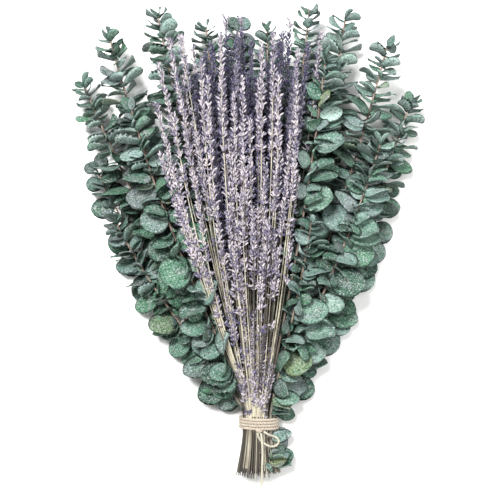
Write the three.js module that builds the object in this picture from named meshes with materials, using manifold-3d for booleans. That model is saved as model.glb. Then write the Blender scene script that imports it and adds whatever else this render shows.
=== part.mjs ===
// A bunch of dried eucalyptus and lavender, tied with jute twine and lying on a flat surface.
// Millimetres, +Z up. The stems run along +Y, from the cut ends below the tie to the tips.
// While it is laid out, x and y are measured from the middle of the tie and z from the surface.

import * as THREE from "three";
import Module from "manifold-3d";

const wasm = await Module();
wasm.setup();

// The tie: an oval of stems inside a few turns of twine
const TIE_HALF_WIDTH = 15.6; // inside the twine
const TIE_FLATTEN = 0.8; // height of the oval against its width
const TWINE = 2.7; // thickness of a turn of the tie
const TURNS = 4;
const TIE_SIDES = 20;
const BOW_TWINE = 2.1; // the single strands of the loop and the tail
// The tie stands on a flat side of its oval
const TIE_HEIGHT = (TIE_HALF_WIDTH + TWINE) * TIE_FLATTEN * Math.cos(Math.PI / TIE_SIDES);
const BUTT = 46; // how far the cut ends stand below the tie

// How the stems spread
const BEND_LENGTH = 25; // a stem turns outwards over about this length
const BUTT_SPREAD = [1.45, 1.1]; // below the tie the stems lie this much wider apart, across and up
const ABOVE_SURFACE = 0.2; // least gap under a stem
const REST_GAP = 0.5; // least gap under a leaf that isn't pressed flat

// Eucalyptus
const STEM_BASE_RADIUS = 1.5;
const STEM_TIP_RADIUS = 0.7;
const STEM_SIDES = 4;
const BLADE = 0.7; // thickness of a leaf
const BLADE_GAP = 0.5; // least gap that a leaf keeps to the leaves round it
const STEM_GAP = 0.4; // least gap that a leaf keeps to stems
const ROOT_LENGTH = 1.3; // a leaf takes this much of the stem's side
const LOW_UNDER_BOW = 23; // leaves below the tie stay under this height, where the loop lies on them
const BENDS = [0, 12, 28, 46]; // where a stem bends even if it has no leaves there
const TRIES = 60; // how many ways a leaf may be bent before it is left out

// Lavender
const STALK_RADIUS = 0.6;
const STALK_SIDES = 3;
const WHORL_STEP = 15; // distance between rings of buds
const WHORL_RADIUS = 4.4;
const CORE_RADIUS = 1.2;
const STALK_GAP = 0.12; // least gap between lavender stalks
const STALK_TRIES = 500;

// Leafy stems: where each passes through the tie (across, up from its middle) and where its tip lies
// (across, along, above the surface). face is how far its leaves have turned flat to the surface, size
// scales its leaves, bow says how early it spreads where that isn't USUAL_BOW, bare is how far it has no
// leaves over the tie, and below counts its pairs of leaves under the tie.
const USUAL_BOW = 0.3;
const LEAFY_STEMS = [
  { name: "right_inner", tie: [10.5, 2.3], tip: [46, 182, 52], face: 0.75, size: 1.08, bare: 16, below: 3 },
  { name: "left_outer", tie: [-11.3, -5.2], tip: [-152, 236, -6], face: 0.55, size: 1, bare: 22 },
  { name: "right_low", tie: [13, -1.4], tip: [118, 214, -6], face: 0.8, size: 1.05, bare: 22, below: 3 },
  { name: "back_middle", tie: [1.3, -9.2], tip: [-20, 366, -6], face: 0.6, size: 0.95, bow: 0.2, bare: 200 },
  { name: "left_front", tie: [-9.4, -1.4], tip: [-112, 280, 60], face: 0.8, size: 1.12, bare: 26 },
  { name: "right_front", tie: [6.8, 2.4], tip: [58, 326, 60], face: 0.75, size: 1.1, bow: 0.35, bare: 40 },
  { name: "right_middle", tie: [9.2, -1.4], tip: [106, 250, 58], face: 0.75, size: 1.12, bare: 22 },
  { name: "left_low", tie: [-12.7, -1.4], tip: [-130, 182, 16], face: 0.8, size: 1.05, bare: 15 },
  { name: "left_inner", tie: [-5.6, -1.4], tip: [-68, 264, 42], face: 0.8, size: 1.05, bow: 0.25, bare: 30 },
  { name: "left_shoulder", tie: [-6.3, -9.2], tip: [-158, 306, 22], face: 0.4, size: 1, bow: 0.25, bare: 40 },
  { name: "left_long", tie: [-7.6, -5.2], tip: [-133, 345, 40], face: 0.4, size: 1.05, bare: 45 },
  { name: "left_top", tie: [-3.8, -5.2], tip: [-91, 368, 28], face: 0.45, size: 1.05, bow: 0.2, bare: 70 },
  { name: "right_long", tie: [7.6, -5.2], tip: [114, 339, 42], face: 0.5, size: 1.08, bow: 0.25, bare: 45 },
  { name: "right_outer", tie: [11.3, -5.2], tip: [138, 292, 18], face: 0.45, size: 1, bare: 40 },
  { name: "right_top", tie: [3.8, -5.2], tip: [78, 366, 26], face: 0.5, size: 1.08, bow: 0.25, bare: 60 },
  { name: "right_pale", tie: [0, -5.2], tip: [45, 373, 34], face: 0.5, size: 0.9, bow: 0.2, bare: 130 },
  { name: "back_left", tie: [-2.5, -9.2], tip: [-48, 358, 20], face: 0.6, size: 0.95, bow: 0.2, bare: 200 },
  { name: "back_right", tie: [5, -9.2], tip: [8, 356, 20], face: 0.6, size: 0.95, bow: 0.2, bare: 200 },
];

// Lavender stalks stand in the tie in rows, in pairs that the twine presses into one another.
// The rows are given from the lowest: height over the middle of the tie, how far the row arches up in
// its middle, first pair, number of pairs, and the nearest and furthest that their flower heads reach.
const PAIR_PITCH = 2.75;
const PRESSED_LENGTH = 11; // how much of a pair is pressed together, all of it under the twine
const LAVENDER_ROWS = [
  { up: 2.3, arch: 1.4, first: -13.3, pairs: 7, reach: [300, 364] },
  { up: 3.8, arch: 2.7, first: -11, pairs: 7, reach: [270, 352] },
  { up: 5.3, arch: 4, first: -11, pairs: 7, reach: [215, 325] },
  { up: 6.5, arch: 4.8, first: -8.25, pairs: 6, reach: [150, 285] },
];
const ROW_HALF_WIDTH = 11.7;
const SHEAF_LEAN = -16; // the sheaf of lavender leans to the left on its way up
const SHEAF_FROM = -4.5; // its middle at the tie
const SHEAF_WIDENING = 6.4; // how many times wider it is at the far end than at the tie
const SHEAF_LENGTH = 345;
const SHEAF_HEIGHTS = [44, 78]; // lowest and highest flower heads
const HEAD_SHARES = [0.17, 0.23]; // length of a flower head against its reach
const HEAD_LEAST = 8; // and this much more

const UP = new THREE.Vector3(0, 0, 1);
const degrees = THREE.MathUtils.degToRad;
const between = (low, high, share) => low + (high - low) * share;

// A seeded draw of numbers from 0 to 1.
function draws(seed) {
  const modulus = 2147483647;
  let state = (seed * 7919 + 104729) % modulus;
  return () => {
    state = (state * 16807) % modulus;
    return state / modulus;
  };
}

// A skin of triangles that grows ring by ring.
class Skin {
  points = [];
  faces = [];

  ring(points) {
    return points.map((point) => this.points.push(point) - 1);
  }

  triangle(a, b, c) {
    if (a !== b && b !== c && c !== a) this.faces.push([a, b, c]);
  }

  // A wall from a side of one ring, a to b, to the same side of the next, c to d. It is split from a to d,
  // or from b to c, which keeps the two faces of a twisted blade apart.
  wall(a, b, c, d, otherWay = false) {
    this.triangle(a, b, otherWay ? c : d);
    this.triangle(otherWay ? b : a, d, c);
  }

  tube(ring, next, sideSplitOtherWay = -1) {
    ring.forEach((_, side) => {
      const following = (side + 1) % ring.length;
      const otherWay = side === sideSplitOtherWay;
      this.wall(ring[side], ring[following], next[side], next[following], otherWay);
    });
  }

  cap(ring, atStart) {
    for (let side = 1; side + 1 < ring.length; side++) {
      const [b, c] = atStart ? [ring[side + 1], ring[side]] : [ring[side], ring[side + 1]];
      this.triangle(ring[0], b, c);
    }
  }

  solid() {
    const mesh = new wasm.Mesh({
      numProp: 3,
      vertProperties: new Float32Array(this.points.flatMap((point) => point.toArray())),
      triVerts: new Uint32Array(this.faces.flat()),
    });
    return new wasm.Manifold(mesh);
  }
}

function loft(rings) {
  const skin = new Skin();
  const indices = rings.map((ring) => skin.ring(ring));
  indices.slice(1).forEach((ring, before) => skin.tube(indices[before], ring));
  skin.cap(indices[0], true);
  skin.cap(indices.at(-1), false);
  return skin.solid();
}

// How far a stem has spread sideways, with no kink where it leaves the tie.
const spread = (y) => Math.hypot(y, BEND_LENGTH) - BEND_LENGTH;

// A stem's middle line as a function of y. radius(y) is its thickness there, for gaps and for the surface.
function stemLine({ tie, tip, base, bow = USUAL_BOW }, radius) {
  const place = (y) => {
    if (y < 0) {
      const share = spread(y) / spread(BUTT);
      const across = tie[0] * (BUTT_SPREAD[0] - 1) * share;
      const up = tie[1] * between(1, BUTT_SPREAD[1], share);
      return new THREE.Vector3(tie[0] + across, y, TIE_HEIGHT + up);
    }
    const out = spread(y) / spread(tip[1]);
    const share = out * (1 + bow * (1 - out));
    const z = Math.max(between(TIE_HEIGHT + tie[1], tip[2], share), radius(y) + ABOVE_SURFACE);
    return new THREE.Vector3(between(tie[0], tip[0], share), y, z);
  };
  const samples = [];
  for (let y = -base; y <= tip[1]; y += 2) samples.push({ at: place(y), radius: radius(y) });
  return { place, radius, samples, from: -base, to: tip[1] };
}

// The directions at a place on a stem: along it, to its right and up.
function frameAt(line, y) {
  const along = line.place(y + 1).sub(line.place(y - 1)).normalize();
  const side = new THREE.Vector3().crossVectors(along, UP).normalize();
  return { at: line.place(y), along, side, up: new THREE.Vector3().crossVectors(side, along) };
}

// A direction across a stem, turned from straight up towards its right.
function outwards({ side, up }, roll, lift = 1) {
  return up.clone().multiplyScalar(Math.cos(roll) * lift).addScaledVector(side, Math.sin(roll)).normalize();
}

function ringAt(line, y, radius, sides, turn = 0) {
  const frame = frameAt(line, y);
  return Array.from({ length: sides }, (_, corner) => {
    return frame.at.clone().addScaledVector(outwards(frame, turn + (corner * 2 * Math.PI) / sides), radius);
  });
}

// Eucalyptus

function leafyLine(stem) {
  const radius = (y) => between(STEM_BASE_RADIUS, STEM_TIP_RADIUS, Math.max(y, 0) / stem.tip[1]);
  return stemLine({ ...stem, base: BUTT }, radius);
}

// Half the outline of a leaf: share of its length, and half its width there.
const RIM = [[0.27, 0.4], [0.75, 0.46], [1, 0]];

// A point of a leaf: share of its length, share of its width, and height over its middle surface.
function leafPoint(leaf, along, across, height = 0) {
  return leaf.root
    .clone()
    .addScaledVector(leaf.reach, along * leaf.length)
    .addScaledVector(leaf.across, across * leaf.width)
    .addScaledVector(leaf.face, height - leaf.curl * leaf.length * along * along);
}

// A leaf's blade on its own, for keeping it clear of others.
function blade(leaf, thickness) {
  const shape = [[0, 0.06], ...RIM];
  const outline = [...shape, ...shape.slice(0, -1).reverse().map(([along, half]) => [along, -half])];
  const layer = (height) => outline.map(([along, half]) => leafPoint(leaf, along, half, height));
  return loft([layer(thickness / 2), layer(-thickness / 2)]);
}

// Where a stem carries its pairs of leaves. From the tip down they have grown, and turned flat to the
// surface, and stand further apart.
function leafPairs(stem) {
  const pairs = [];
  const slope = stem.tip[1] / Math.hypot(stem.tip[0] - stem.tie[0], stem.tip[1]);
  let fromTip = 2.5;
  while (stem.tip[1] - fromTip * slope > stem.bare) {
    const grown = Math.min(fromTip / 90, 1);
    pairs.push({ y: stem.tip[1] - fromTip * slope, grown, turned: between(0.25, 1, grown) });
    fromTip += between(7.6, 24.4, Math.min(fromTip / 90, 1));
  }
  for (let low = 0; low < (stem.below ?? 0); low++) {
    pairs.push({ y: -14 - 10 * low, grown: 0.25, turned: 1.15 });
  }
  return pairs;
}

// The ways in which a leaf may lie, each bent a little further than the one before. quarter is the
// side of the stem that it grows on: pairs stand crosswise to each other up the stem.
function leafChoices(stem, number, line, pair, order, hand) {
  const next = draws(1000 * (number + 1) + 2 * order + hand);
  const quarter = (order % 2) + 2 * hand;
  const facing = degrees(45 + 90 * quarter);
  const frame = frameAt(line, pair.y);
  const outward = outwards(frame, facing);
  const root = frame.at.clone().addScaledVector(outward, line.radius(pair.y) * Math.SQRT1_2);
  const onSurface = frame.at.z < line.radius(pair.y) + 2 * ABOVE_SURFACE;
  const wide = between(0.88, 1.04, next());
  const curl = between(-0.05, 0.1, next());
  const full = between(10, 26.5, Math.sqrt(pair.grown)) * stem.size * between(0.88, 1.12, next());
  const lift = between(0.75, 0.35, pair.grown);
  return Array.from({ length: TRIES }, (_, attempt) => {
    const roll = facing + degrees((next() - 0.5) * (30 + 2 * attempt));
    const open = degrees(between(62, 74, pair.grown) + (next() - 0.5) * (14 + 0.8 * attempt));
    const turned = degrees(-82 * pair.turned * stem.face + (next() - 0.5) * (30 + 3 * attempt));
    const lean = Math.sign(Math.sin(roll)) * turned;
    const length = full * (1 - 0.006 * attempt);
    const pressed = onSurface && attempt % 2 === 0;
    const out = outwards(frame, roll, pressed ? 0.1 : lift);
    const reach = frame.along.clone().multiplyScalar(Math.cos(open)).addScaledVector(out, Math.sin(open));
    const leaf = { root, reach, length, width: wide * length, curl, quarter, outward };
    if (pressed) {
      reach.setZ(0).normalize();
      leaf.root = root.clone().setZ(BLADE / 2);
      return { ...leaf, pressed, curl: 0, face: UP, across: new THREE.Vector3().crossVectors(UP, reach) };
    }
    const upper = frame.along.clone().multiplyScalar(Math.sin(open)).addScaledVector(out, -Math.cos(open));
    const edge = new THREE.Vector3().crossVectors(upper, reach);
    leaf.face = upper.multiplyScalar(Math.cos(lean)).addScaledVector(edge, Math.sin(lean));
    leaf.across = new THREE.Vector3().crossVectors(leaf.face, reach);
    return leaf;
  });
}

function insideTie(point) {
  const across = point.x / (TIE_HALF_WIDTH + TWINE + 2);
  const up = (point.z - TIE_HEIGHT) / (TIE_HEIGHT + 2);
  return Math.abs(point.y) < (TURNS * TWINE) / 2 + 1.5 && Math.hypot(across, up) < 1;
}

// Whether a stem passes through a leaf, or nearer to it than the gap.
function stemMeetsLeaf(samples, leaf, middle) {
  return samples.some(({ at, radius }) => {
    const room = radius + BLADE / 2 + STEM_GAP;
    if (at.distanceTo(middle) > leaf.length * 0.75 + room) return false;
    const from = at.clone().sub(leaf.root);
    const along = from.dot(leaf.reach) / leaf.length;
    const over = from.dot(leaf.face) + leaf.curl * leaf.length * along * along;
    const beyond = Math.max(Math.abs(along - 0.52) - 0.48, 0) * leaf.length;
    const beside = Math.max(Math.abs(from.dot(leaf.across)) - leaf.width / 2, 0);
    return Math.hypot(over, beyond, beside) < room;
  });
}

// Whether a leaf is clear of the surface, the tie, the stems and the leaves already placed.
function leafIsClear(leaf, own, lines, placed) {
  const lowest = leaf.pressed ? 0 : REST_GAP + BLADE / 2;
  const rim = RIM.flatMap(([along, half]) => [leafPoint(leaf, along, half), leafPoint(leaf, along, -half)]);
  for (const point of rim) {
    if (point.z < lowest || insideTie(point) || (point.y < 0 && point.z > LOW_UNDER_BOW)) return false;
    if (point.clone().sub(leaf.root).dot(leaf.outward) < BLADE) return false;
  }
  const middle = leafPoint(leaf, 0.5, 0);
  if (lines.some((line) => line !== own && stemMeetsLeaf(line.samples, leaf, middle))) return false;
  const isNear = (other) => other.middle.distanceTo(middle) < (leaf.length + other.length) * 0.65 + 2;
  const near = placed.filter(isNear);
  if (!near.length) return true;
  const wide = blade(leaf, BLADE + 2 * BLADE_GAP);
  const clear = near.every((other) => wide.intersect(other.solid).isEmpty());
  wide.delete();
  return clear;
}

function leavesOn(stem, number, line, lines, placed) {
  leafPairs(stem).forEach((pair, order) => {
    const others = [...placed];
    for (const hand of [0, 1]) {
      const choices = leafChoices(stem, number, line, pair, order, hand);
      const leaf = choices.find((choice) => leafIsClear(choice, line, lines, others));
      if (!leaf) continue;
      placed.push({ ...leaf, stem, y: pair.y, middle: leafPoint(leaf, 0.5, 0), solid: blade(leaf, BLADE) });
    }
  });
}

// A leaf's skin grows out of a small face on the side of the stem.
function growLeaf(skin, root, leaf) {
  const section = ([along, half]) => [
    leafPoint(leaf, along, -half, BLADE / 2),
    leafPoint(leaf, along, -half, -BLADE / 2),
    leafPoint(leaf, along, half, -BLADE / 2),
    leafPoint(leaf, along, half, BLADE / 2),
  ];
  const [near, far] = RIM.map(section);
  const twist = (shift) => root.reduce((sum, index, corner) => {
    return sum + skin.points[index].distanceTo(near[(corner + shift) % 4]);
  }, 0);
  const turns = [0, 1, 2, 3].sort((a, b) => twist(a) - twist(b));
  const first = skin.ring(near);
  const underside = (5 - turns[0]) % 4;
  skin.tube(root, root.map((_, corner) => first[(corner + turns[0]) % 4]), underside);
  const second = skin.ring(far);
  skin.tube(first, second);
  const [top, under] = skin.ring([leafPoint(leaf, 1, 0, BLADE / 2), leafPoint(leaf, 1, 0, -BLADE / 2)]);
  skin.tube(second, [top, under, under, top]);
}

// A stem and all its leaves in one skin.
function leafyBody(stem, line, leaves) {
  const skin = new Skin();
  const ring = (y) => skin.ring(ringAt(line, y, line.radius(y), STEM_SIDES));
  const pairs = [...new Set(leaves.map((leaf) => leaf.y))];
  const bare = BENDS.filter((y) => pairs.every((pair) => Math.abs(pair - y) > 5));
  const heights = [...pairs, ...bare].sort((a, b) => a - b);
  let last = ring(-BUTT);
  skin.cap(last, true);
  for (const y of heights) {
    const low = ring(y - ROOT_LENGTH / 2);
    skin.tube(last, low);
    last = low;
    const here = leaves.filter((leaf) => leaf.y === y);
    if (!here.length) continue;
    const high = ring(y + ROOT_LENGTH / 2);
    low.forEach((index, side) => {
      const following = (side + 1) % STEM_SIDES;
      const leaf = here.find(({ quarter }) => quarter === side);
      if (leaf) growLeaf(skin, [index, low[following], high[following], high[side]], leaf);
      else skin.wall(index, low[following], high[side], high[following]);
    });
    last = high;
  }
  const tip = ring(stem.tip[1]);
  skin.tube(last, tip);
  skin.cap(tip, false);
  return skin.solid();
}

// Lavender

function lavenderLine(stalk) {
  const head = stalk.tip[1] - stalk.head;
  const headRadius = (share) => WHORL_RADIUS * between(1, 0.6, share);
  return stemLine(stalk, (y) => (y < head ? STALK_RADIUS : headRadius((y - head) / stalk.head)));
}

// The ways in which a stalk of lavender may lie: its place in the sheaf follows from its place in the tie.
function stalkChoices(row, pair, side) {
  const next = draws(50000 + 1000 * row + 10 * pair + side);
  const { up, arch, first, reach } = LAVENDER_ROWS[row];
  const hand = side ? 1 : -1;
  const x = first + PAIR_PITCH * (pair + hand / 4);
  const fromMiddle = (first + PAIR_PITCH * pair) / ROW_HALF_WIDTH;
  const z = up + arch * Math.max(0, 1 - fromMiddle ** 2);
  const base = BUTT + between(-4, 4, next());
  return Array.from({ length: STALK_TRIES }, (_, attempt) => {
    const loose = 9 * (1 + attempt / 40);
    const tipY = between(reach[0], reach[1], next());
    const along = tipY / SHEAF_LENGTH;
    const wider = between(1, SHEAF_WIDENING, along);
    const tipX = SHEAF_FROM + SHEAF_LEAN * along + (x - SHEAF_FROM) * wider;
    const tipZ = between(SHEAF_HEIGHTS[0], SHEAF_HEIGHTS[1], row / (LAVENDER_ROWS.length - 1));
    const bow = between(0.1, 0.3, next());
    const tip = [tipX + (next() - 0.5) * loose, tipY, tipZ + (next() - 0.5) * loose];
    const head = HEAD_LEAST + tipY * between(HEAD_SHARES[0], HEAD_SHARES[1], next());
    return { tie: [x, z], tip, bow, base, head };
  });
}

function stalkIsClear(line, lines) {
  for (let y = line.from; y <= line.to; y += 4) {
    const at = line.place(y);
    for (const other of lines) {
      if (y > other.to || y < other.from) continue;
      const there = other.place(y);
      const away = Math.hypot(at.x - there.x, at.z - there.z) * 0.985;
      if (away < line.radius(y) + other.radius(y) + STALK_GAP) return false;
    }
  }
  return true;
}

function stalkRings(stalk, line) {
  const head = stalk.tip[1] - stalk.head;
  const bare = [-stalk.base, -PRESSED_LENGTH / 2, PRESSED_LENGTH / 2, 40];
  const rings = bare.map((y) => ringAt(line, y, STALK_RADIUS, STALK_SIDES));
  const whorls = Math.round(stalk.head / WHORL_STEP);
  const step = stalk.head / whorls;
  // Each whorl stands half a side further round than the one below it
  let turn = 0;
  for (let whorl = 0; whorl < whorls; whorl++) {
    const y = head + whorl * step;
    const size = between(1, 0.66, whorl / whorls) * WHORL_RADIUS;
    rings.push(ringAt(line, y, whorl ? CORE_RADIUS : STALK_RADIUS, STALK_SIDES, turn));
    turn -= Math.PI / STALK_SIDES;
    rings.push(ringAt(line, y + 0.6 * step, size, STALK_SIDES, turn));
  }
  rings.push(ringAt(line, stalk.tip[1], STALK_RADIUS, STALK_SIDES, turn));
  return rings;
}

// Two stalks in one skin. Under the twine the right side of the first runs into the left side of the other.
function stalksBody(two) {
  const skin = new Skin();
  const pressed = two.map(({ stalk, line }, number) => {
    const rings = stalkRings(stalk, line).map((ring) => skin.ring(ring));
    skin.cap(rings[0], true);
    skin.cap(rings.at(-1), false);
    const inner = two.length > 1 ? [0, 2][number] : -1;
    rings.slice(1).forEach((ring, before) => {
      for (let side = 0; side < STALK_SIDES; side++) {
        if (before === 1 && side === inner) continue;
        const following = (side + 1) % STALK_SIDES;
        skin.wall(rings[before][side], rings[before][following], ring[side], ring[following]);
      }
    });
    return [rings[1], rings[2]];
  });
  if (two.length > 1) {
    const [[low, high], [nextLow, nextHigh]] = pressed;
    skin.tube([low[0], low[1], high[1], high[0]], [nextLow[0], nextLow[2], nextHigh[2], nextHigh[0]]);
  }
  return skin.solid();
}

// Twine

// The turns of the tie, side by side: an oval band with a ridge for each turn.
function tieBand() {
  const half = (TURNS * TWINE) / 2;
  const inside = TIE_HALF_WIDTH;
  const profile = [new THREE.Vector2(inside, half), new THREE.Vector2(inside, -half)];
  for (let turn = 0; turn < TURNS; turn++) {
    const y = -half + turn * TWINE;
    profile.push(new THREE.Vector2(inside + TWINE, y + TWINE / 2));
    if (turn + 1 < TURNS) profile.push(new THREE.Vector2(inside + TWINE * 0.55, y + TWINE));
  }
  profile.push(profile[0].clone());
  return new THREE.LatheGeometry(profile, TIE_SIDES)
    .rotateY(Math.PI / TIE_SIDES)
    .scale(1, 1, TIE_FLATTEN)
    .translate(0, 0, TIE_HEIGHT);
}

function strand(points, steps) {
  const sides = 8;
  const outline = Array.from({ length: sides }, (_, corner) => {
    const angle = ((corner + 0.5) * 2 * Math.PI) / sides;
    return new THREE.Vector2(Math.cos(angle), Math.sin(angle)).multiplyScalar(BOW_TWINE / 2);
  });
  const path = new THREE.CatmullRomCurve3(points.map(([x, y, z]) => new THREE.Vector3(x, y, TIE_TOP + z)));
  const settings = { steps, extrudePath: path, bevelEnabled: false };
  return new THREE.ExtrudeGeometry(new THREE.Shape(outline), settings);
}

const TIE_TOP = 2 * TIE_HEIGHT;
const KNOT = [0.5, -4.6, TIE_TOP + 2];
const KNOT_HALF_SIZE = [4.2, 2.6, 1.8];
// Heights of the two strands are given over the top of the tie. The loop leaves the knot, drops over the
// edge of the cut ends, turns on a leaf there and comes back up over them.
const LOOP_ROUTE = [
  [4.5, -6, 1.7], [6.3, -7.5, 1], [8.3, -8.9, -0.9], [10.2, -10.1, -3.3], [11.9, -11, -5.5],
  [13.6, -11.8, -7.1], [15.5, -12.6, -7.8], [17.1, -14.1, -7.8], [17.9, -16.3, -8], [17.1, -18.5, -8.2],
  [15.2, -20.2, -7.9], [12.8, -20.7, -6.7], [10.5, -20.4, -4.7], [8.3, -19.4, -2.1], [6.1, -18.1, -1.3],
  [3.9, -16.5, -0.9], [2, -14.8, -0.8], [0.3, -12.5, -0.5], [-0.8, -10, 0.4], [-1.3, -7.5, 1.4],
];
// The tail leaves the knot, passes over the loop, lies on the cut ends and reaches just past them.
const TAIL_ROUTE = [
  [1.9, -7.6, 2.1], [2.1, -10.5, 2], [2.4, -13.5, 1.7], [2.8, -16.5, 1.5], [3, -19.5, 0.7],
  [3.1, -22.5, -0.2], [3.2, -26, -0.8], [3.1, -30, -0.8], [3, -34, -0.6], [2.9, -38, -0.5],
  [2.7, -42, -0.6], [2.6, -46, -0.9], [2.5, -49.5, -1.3], [2.4, -52.5, -1.9], [2.2, -56, -2.7],
];

// The bunch

function named(name, geometry, material) {
  const mesh = new THREE.Mesh(geometry, material);
  mesh.name = name;
  return mesh;
}

function geometryOf(solid) {
  const { vertProperties, triVerts } = solid.getMesh();
  return new THREE.BufferGeometry()
    .setAttribute("position", new THREE.BufferAttribute(vertProperties, 3))
    .setIndex(new THREE.BufferAttribute(triVerts, 1));
}

const leafGreen = new THREE.MeshStandardMaterial({ color: 0x5c7f6c, roughness: 0.8, metalness: 0 });
const flowerGrey = new THREE.MeshStandardMaterial({ color: 0x8f849c, roughness: 0.9, metalness: 0 });
const twineStraw = new THREE.MeshStandardMaterial({ color: 0xdcc299, roughness: 0.95, metalness: 0 });

const bunch = new THREE.Group();
const lines = LEAFY_STEMS.map(leafyLine);
const stalkPairs = [];
LAVENDER_ROWS.forEach(({ pairs }, row) => {
  for (let pair = 0; pair < pairs; pair++) {
    const two = [];
    for (const side of [0, 1]) {
      const found = stalkChoices(row, pair, side)
        .map((stalk) => ({ stalk, line: lavenderLine(stalk) }))
        .find(({ line }) => stalkIsClear(line, lines));
      if (!found) continue;
      lines.push(found.line);
      two.push(found);
    }
    stalkPairs.push(two);
  }
});

const placed = [];
LEAFY_STEMS.forEach((stem, number) => leavesOn(stem, number, lines[number], lines, placed));

LEAFY_STEMS.forEach((stem, number) => {
  const body = leafyBody(stem, lines[number], placed.filter((leaf) => leaf.stem === stem));
  bunch.add(named("eucalyptus_" + stem.name, geometryOf(body), leafGreen));
});
stalkPairs.forEach((two, number) => {
  const name = "lavender_pair_" + String(number + 1).padStart(2, "0");
  bunch.add(named(name, geometryOf(stalksBody(two)), flowerGrey));
});
bunch.add(named("twine_wrap", tieBand(), twineStraw));
const knot = new THREE.SphereGeometry(1, 8, 6).scale(...KNOT_HALF_SIZE).translate(...KNOT);
bunch.add(named("twine_knot", knot, twineStraw));

// The origin is in the middle of the object's box, on the surface. The loose strands don't count in it.
const middle = new THREE.Box3().setFromObject(bunch).getCenter(new THREE.Vector3());
bunch.add(named("twine_loop", strand(LOOP_ROUTE, 15), twineStraw));
bunch.add(named("twine_tail", strand(TAIL_ROUTE, 11), twineStraw));
bunch.position.set(-middle.x, -middle.y, 0);

export default bunch;
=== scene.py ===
"""A bunch of dried eucalyptus and lavender, tied with jute twine and lying on a pale surface.

Lengths in the layout are in millimetres, measured from the middle of the tie: x across the bunch, y along
it towards the tips and z up from the surface. Everything that is handed to Blender is in metres.
"""

import functools
import math

import bpy
import numpy as np
from bpy.props import FloatProperty, FloatVectorProperty, IntProperty, PointerProperty
from bpy.types import Operator, Panel, PropertyGroup
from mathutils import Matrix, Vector
from mathutils.kdtree import KDTree


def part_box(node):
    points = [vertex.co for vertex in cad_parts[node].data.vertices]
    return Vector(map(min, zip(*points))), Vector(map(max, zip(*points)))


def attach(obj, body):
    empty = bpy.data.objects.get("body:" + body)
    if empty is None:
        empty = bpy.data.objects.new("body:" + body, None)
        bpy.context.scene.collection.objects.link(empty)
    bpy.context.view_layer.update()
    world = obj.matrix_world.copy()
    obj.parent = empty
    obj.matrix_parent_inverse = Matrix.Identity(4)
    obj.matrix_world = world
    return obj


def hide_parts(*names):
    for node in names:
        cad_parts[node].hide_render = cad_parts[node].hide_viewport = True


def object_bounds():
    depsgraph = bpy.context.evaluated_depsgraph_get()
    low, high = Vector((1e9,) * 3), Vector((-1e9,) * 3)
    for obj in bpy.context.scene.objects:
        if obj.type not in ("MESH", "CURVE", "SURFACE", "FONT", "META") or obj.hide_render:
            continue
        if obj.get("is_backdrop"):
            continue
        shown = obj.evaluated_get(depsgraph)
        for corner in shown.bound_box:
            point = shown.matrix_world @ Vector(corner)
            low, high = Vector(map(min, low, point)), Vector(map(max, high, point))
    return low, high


bl_info = {
    "name": "Dried eucalyptus bunch",
    "version": (1, 0, 0),
    "blender": (4, 5, 0),
    "location": "View3D > Sidebar > Bunch",
    "description": "Leaves, twigs, lavender and twine of a dried bunch",
    "category": "Object",
}

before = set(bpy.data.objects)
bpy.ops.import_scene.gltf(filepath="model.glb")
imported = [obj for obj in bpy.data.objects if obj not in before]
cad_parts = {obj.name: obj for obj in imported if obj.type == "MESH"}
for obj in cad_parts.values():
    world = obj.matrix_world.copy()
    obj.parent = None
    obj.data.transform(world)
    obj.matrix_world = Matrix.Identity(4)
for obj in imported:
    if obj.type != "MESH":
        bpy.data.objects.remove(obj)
cad_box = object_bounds()

MM = 0.001
UP = Vector((0, 0, 1))


def linear(code):
    """An sRGB colour such as "#8fb5a0" as linear red, green and blue."""
    shares = [int(code[at : at + 2], 16) / 255 for at in (1, 3, 5)]
    return tuple(
        share / 12.92 if share <= 0.04045 else ((share + 0.055) / 1.055) ** 2.4
        for share in shares
    )


def colour(name, description, code):
    return FloatVectorProperty(
        name=name, description=description, subtype="COLOR", size=3, min=0, max=1, default=linear(code)
    )


def length(name, description, millimetres):
    return FloatProperty(
        name=name, description=description, unit="LENGTH", precision=5, min=0, default=millimetres * MM
    )


# Settings that a user would change


class EucalyptusSettings(PropertyGroup):
    thickness: length("Blade thickness", "Thickness of a leaf at its midrib", 0.6)
    dents: length("Dents", "Height of the dents and waves that drying leaves in a blade", 1.1)
    fold: FloatProperty(
        name="Fold", description="How far the halves of a leaf stand up, against its width", default=0.12
    )
    fullness: FloatProperty(
        name="Leaf spacing",
        description="Spacing of the further leaves, against the usual",
        default=1,
        min=0.5,
    )
    dark: colour("Dark leaf", "Deep teal green of young and shaded leaves", "#1d3830")
    green: colour("Green leaf", "Dried green of grown leaves", "#45725f")
    grey: colour("Grey leaf", "Grey-green under the waxy bloom", "#7c9893")
    pale: colour("Pale leaf", "Mint of the palest leaves", "#9bb6ac")
    twig: colour("Twig", "Red-brown bark of the twigs", "#6a5a50")


class LavenderSettings(PropertyGroup):
    bud_length: length("Bud length", "Length of one dried calyx", 5.6)
    bud_radius: length("Bud radius", "Half the width of one calyx", 0.8)
    whorl_step: length("Whorl spacing", "Distance between rings of buds at the tip of a spike", 4.6)
    buds: IntProperty(name="Buds in a ring", description="Number of buds round the stalk", default=8, min=3)
    lilac: colour("Bud", "Grey lilac of the dried calyx", "#8d8593")
    # Painted shade: the deep violet laid on buds deep inside the sheaf
    shade_violet: colour("Violet", "Deep violet that the shaded buds keep", "#221d4c")
    bleached: colour("Bleached bud", "Cream of the sun-bleached buds", "#cdc4c6")
    straw: colour("Stalk", "Straw of the dried stalks", "#c6bfa9")


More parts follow.
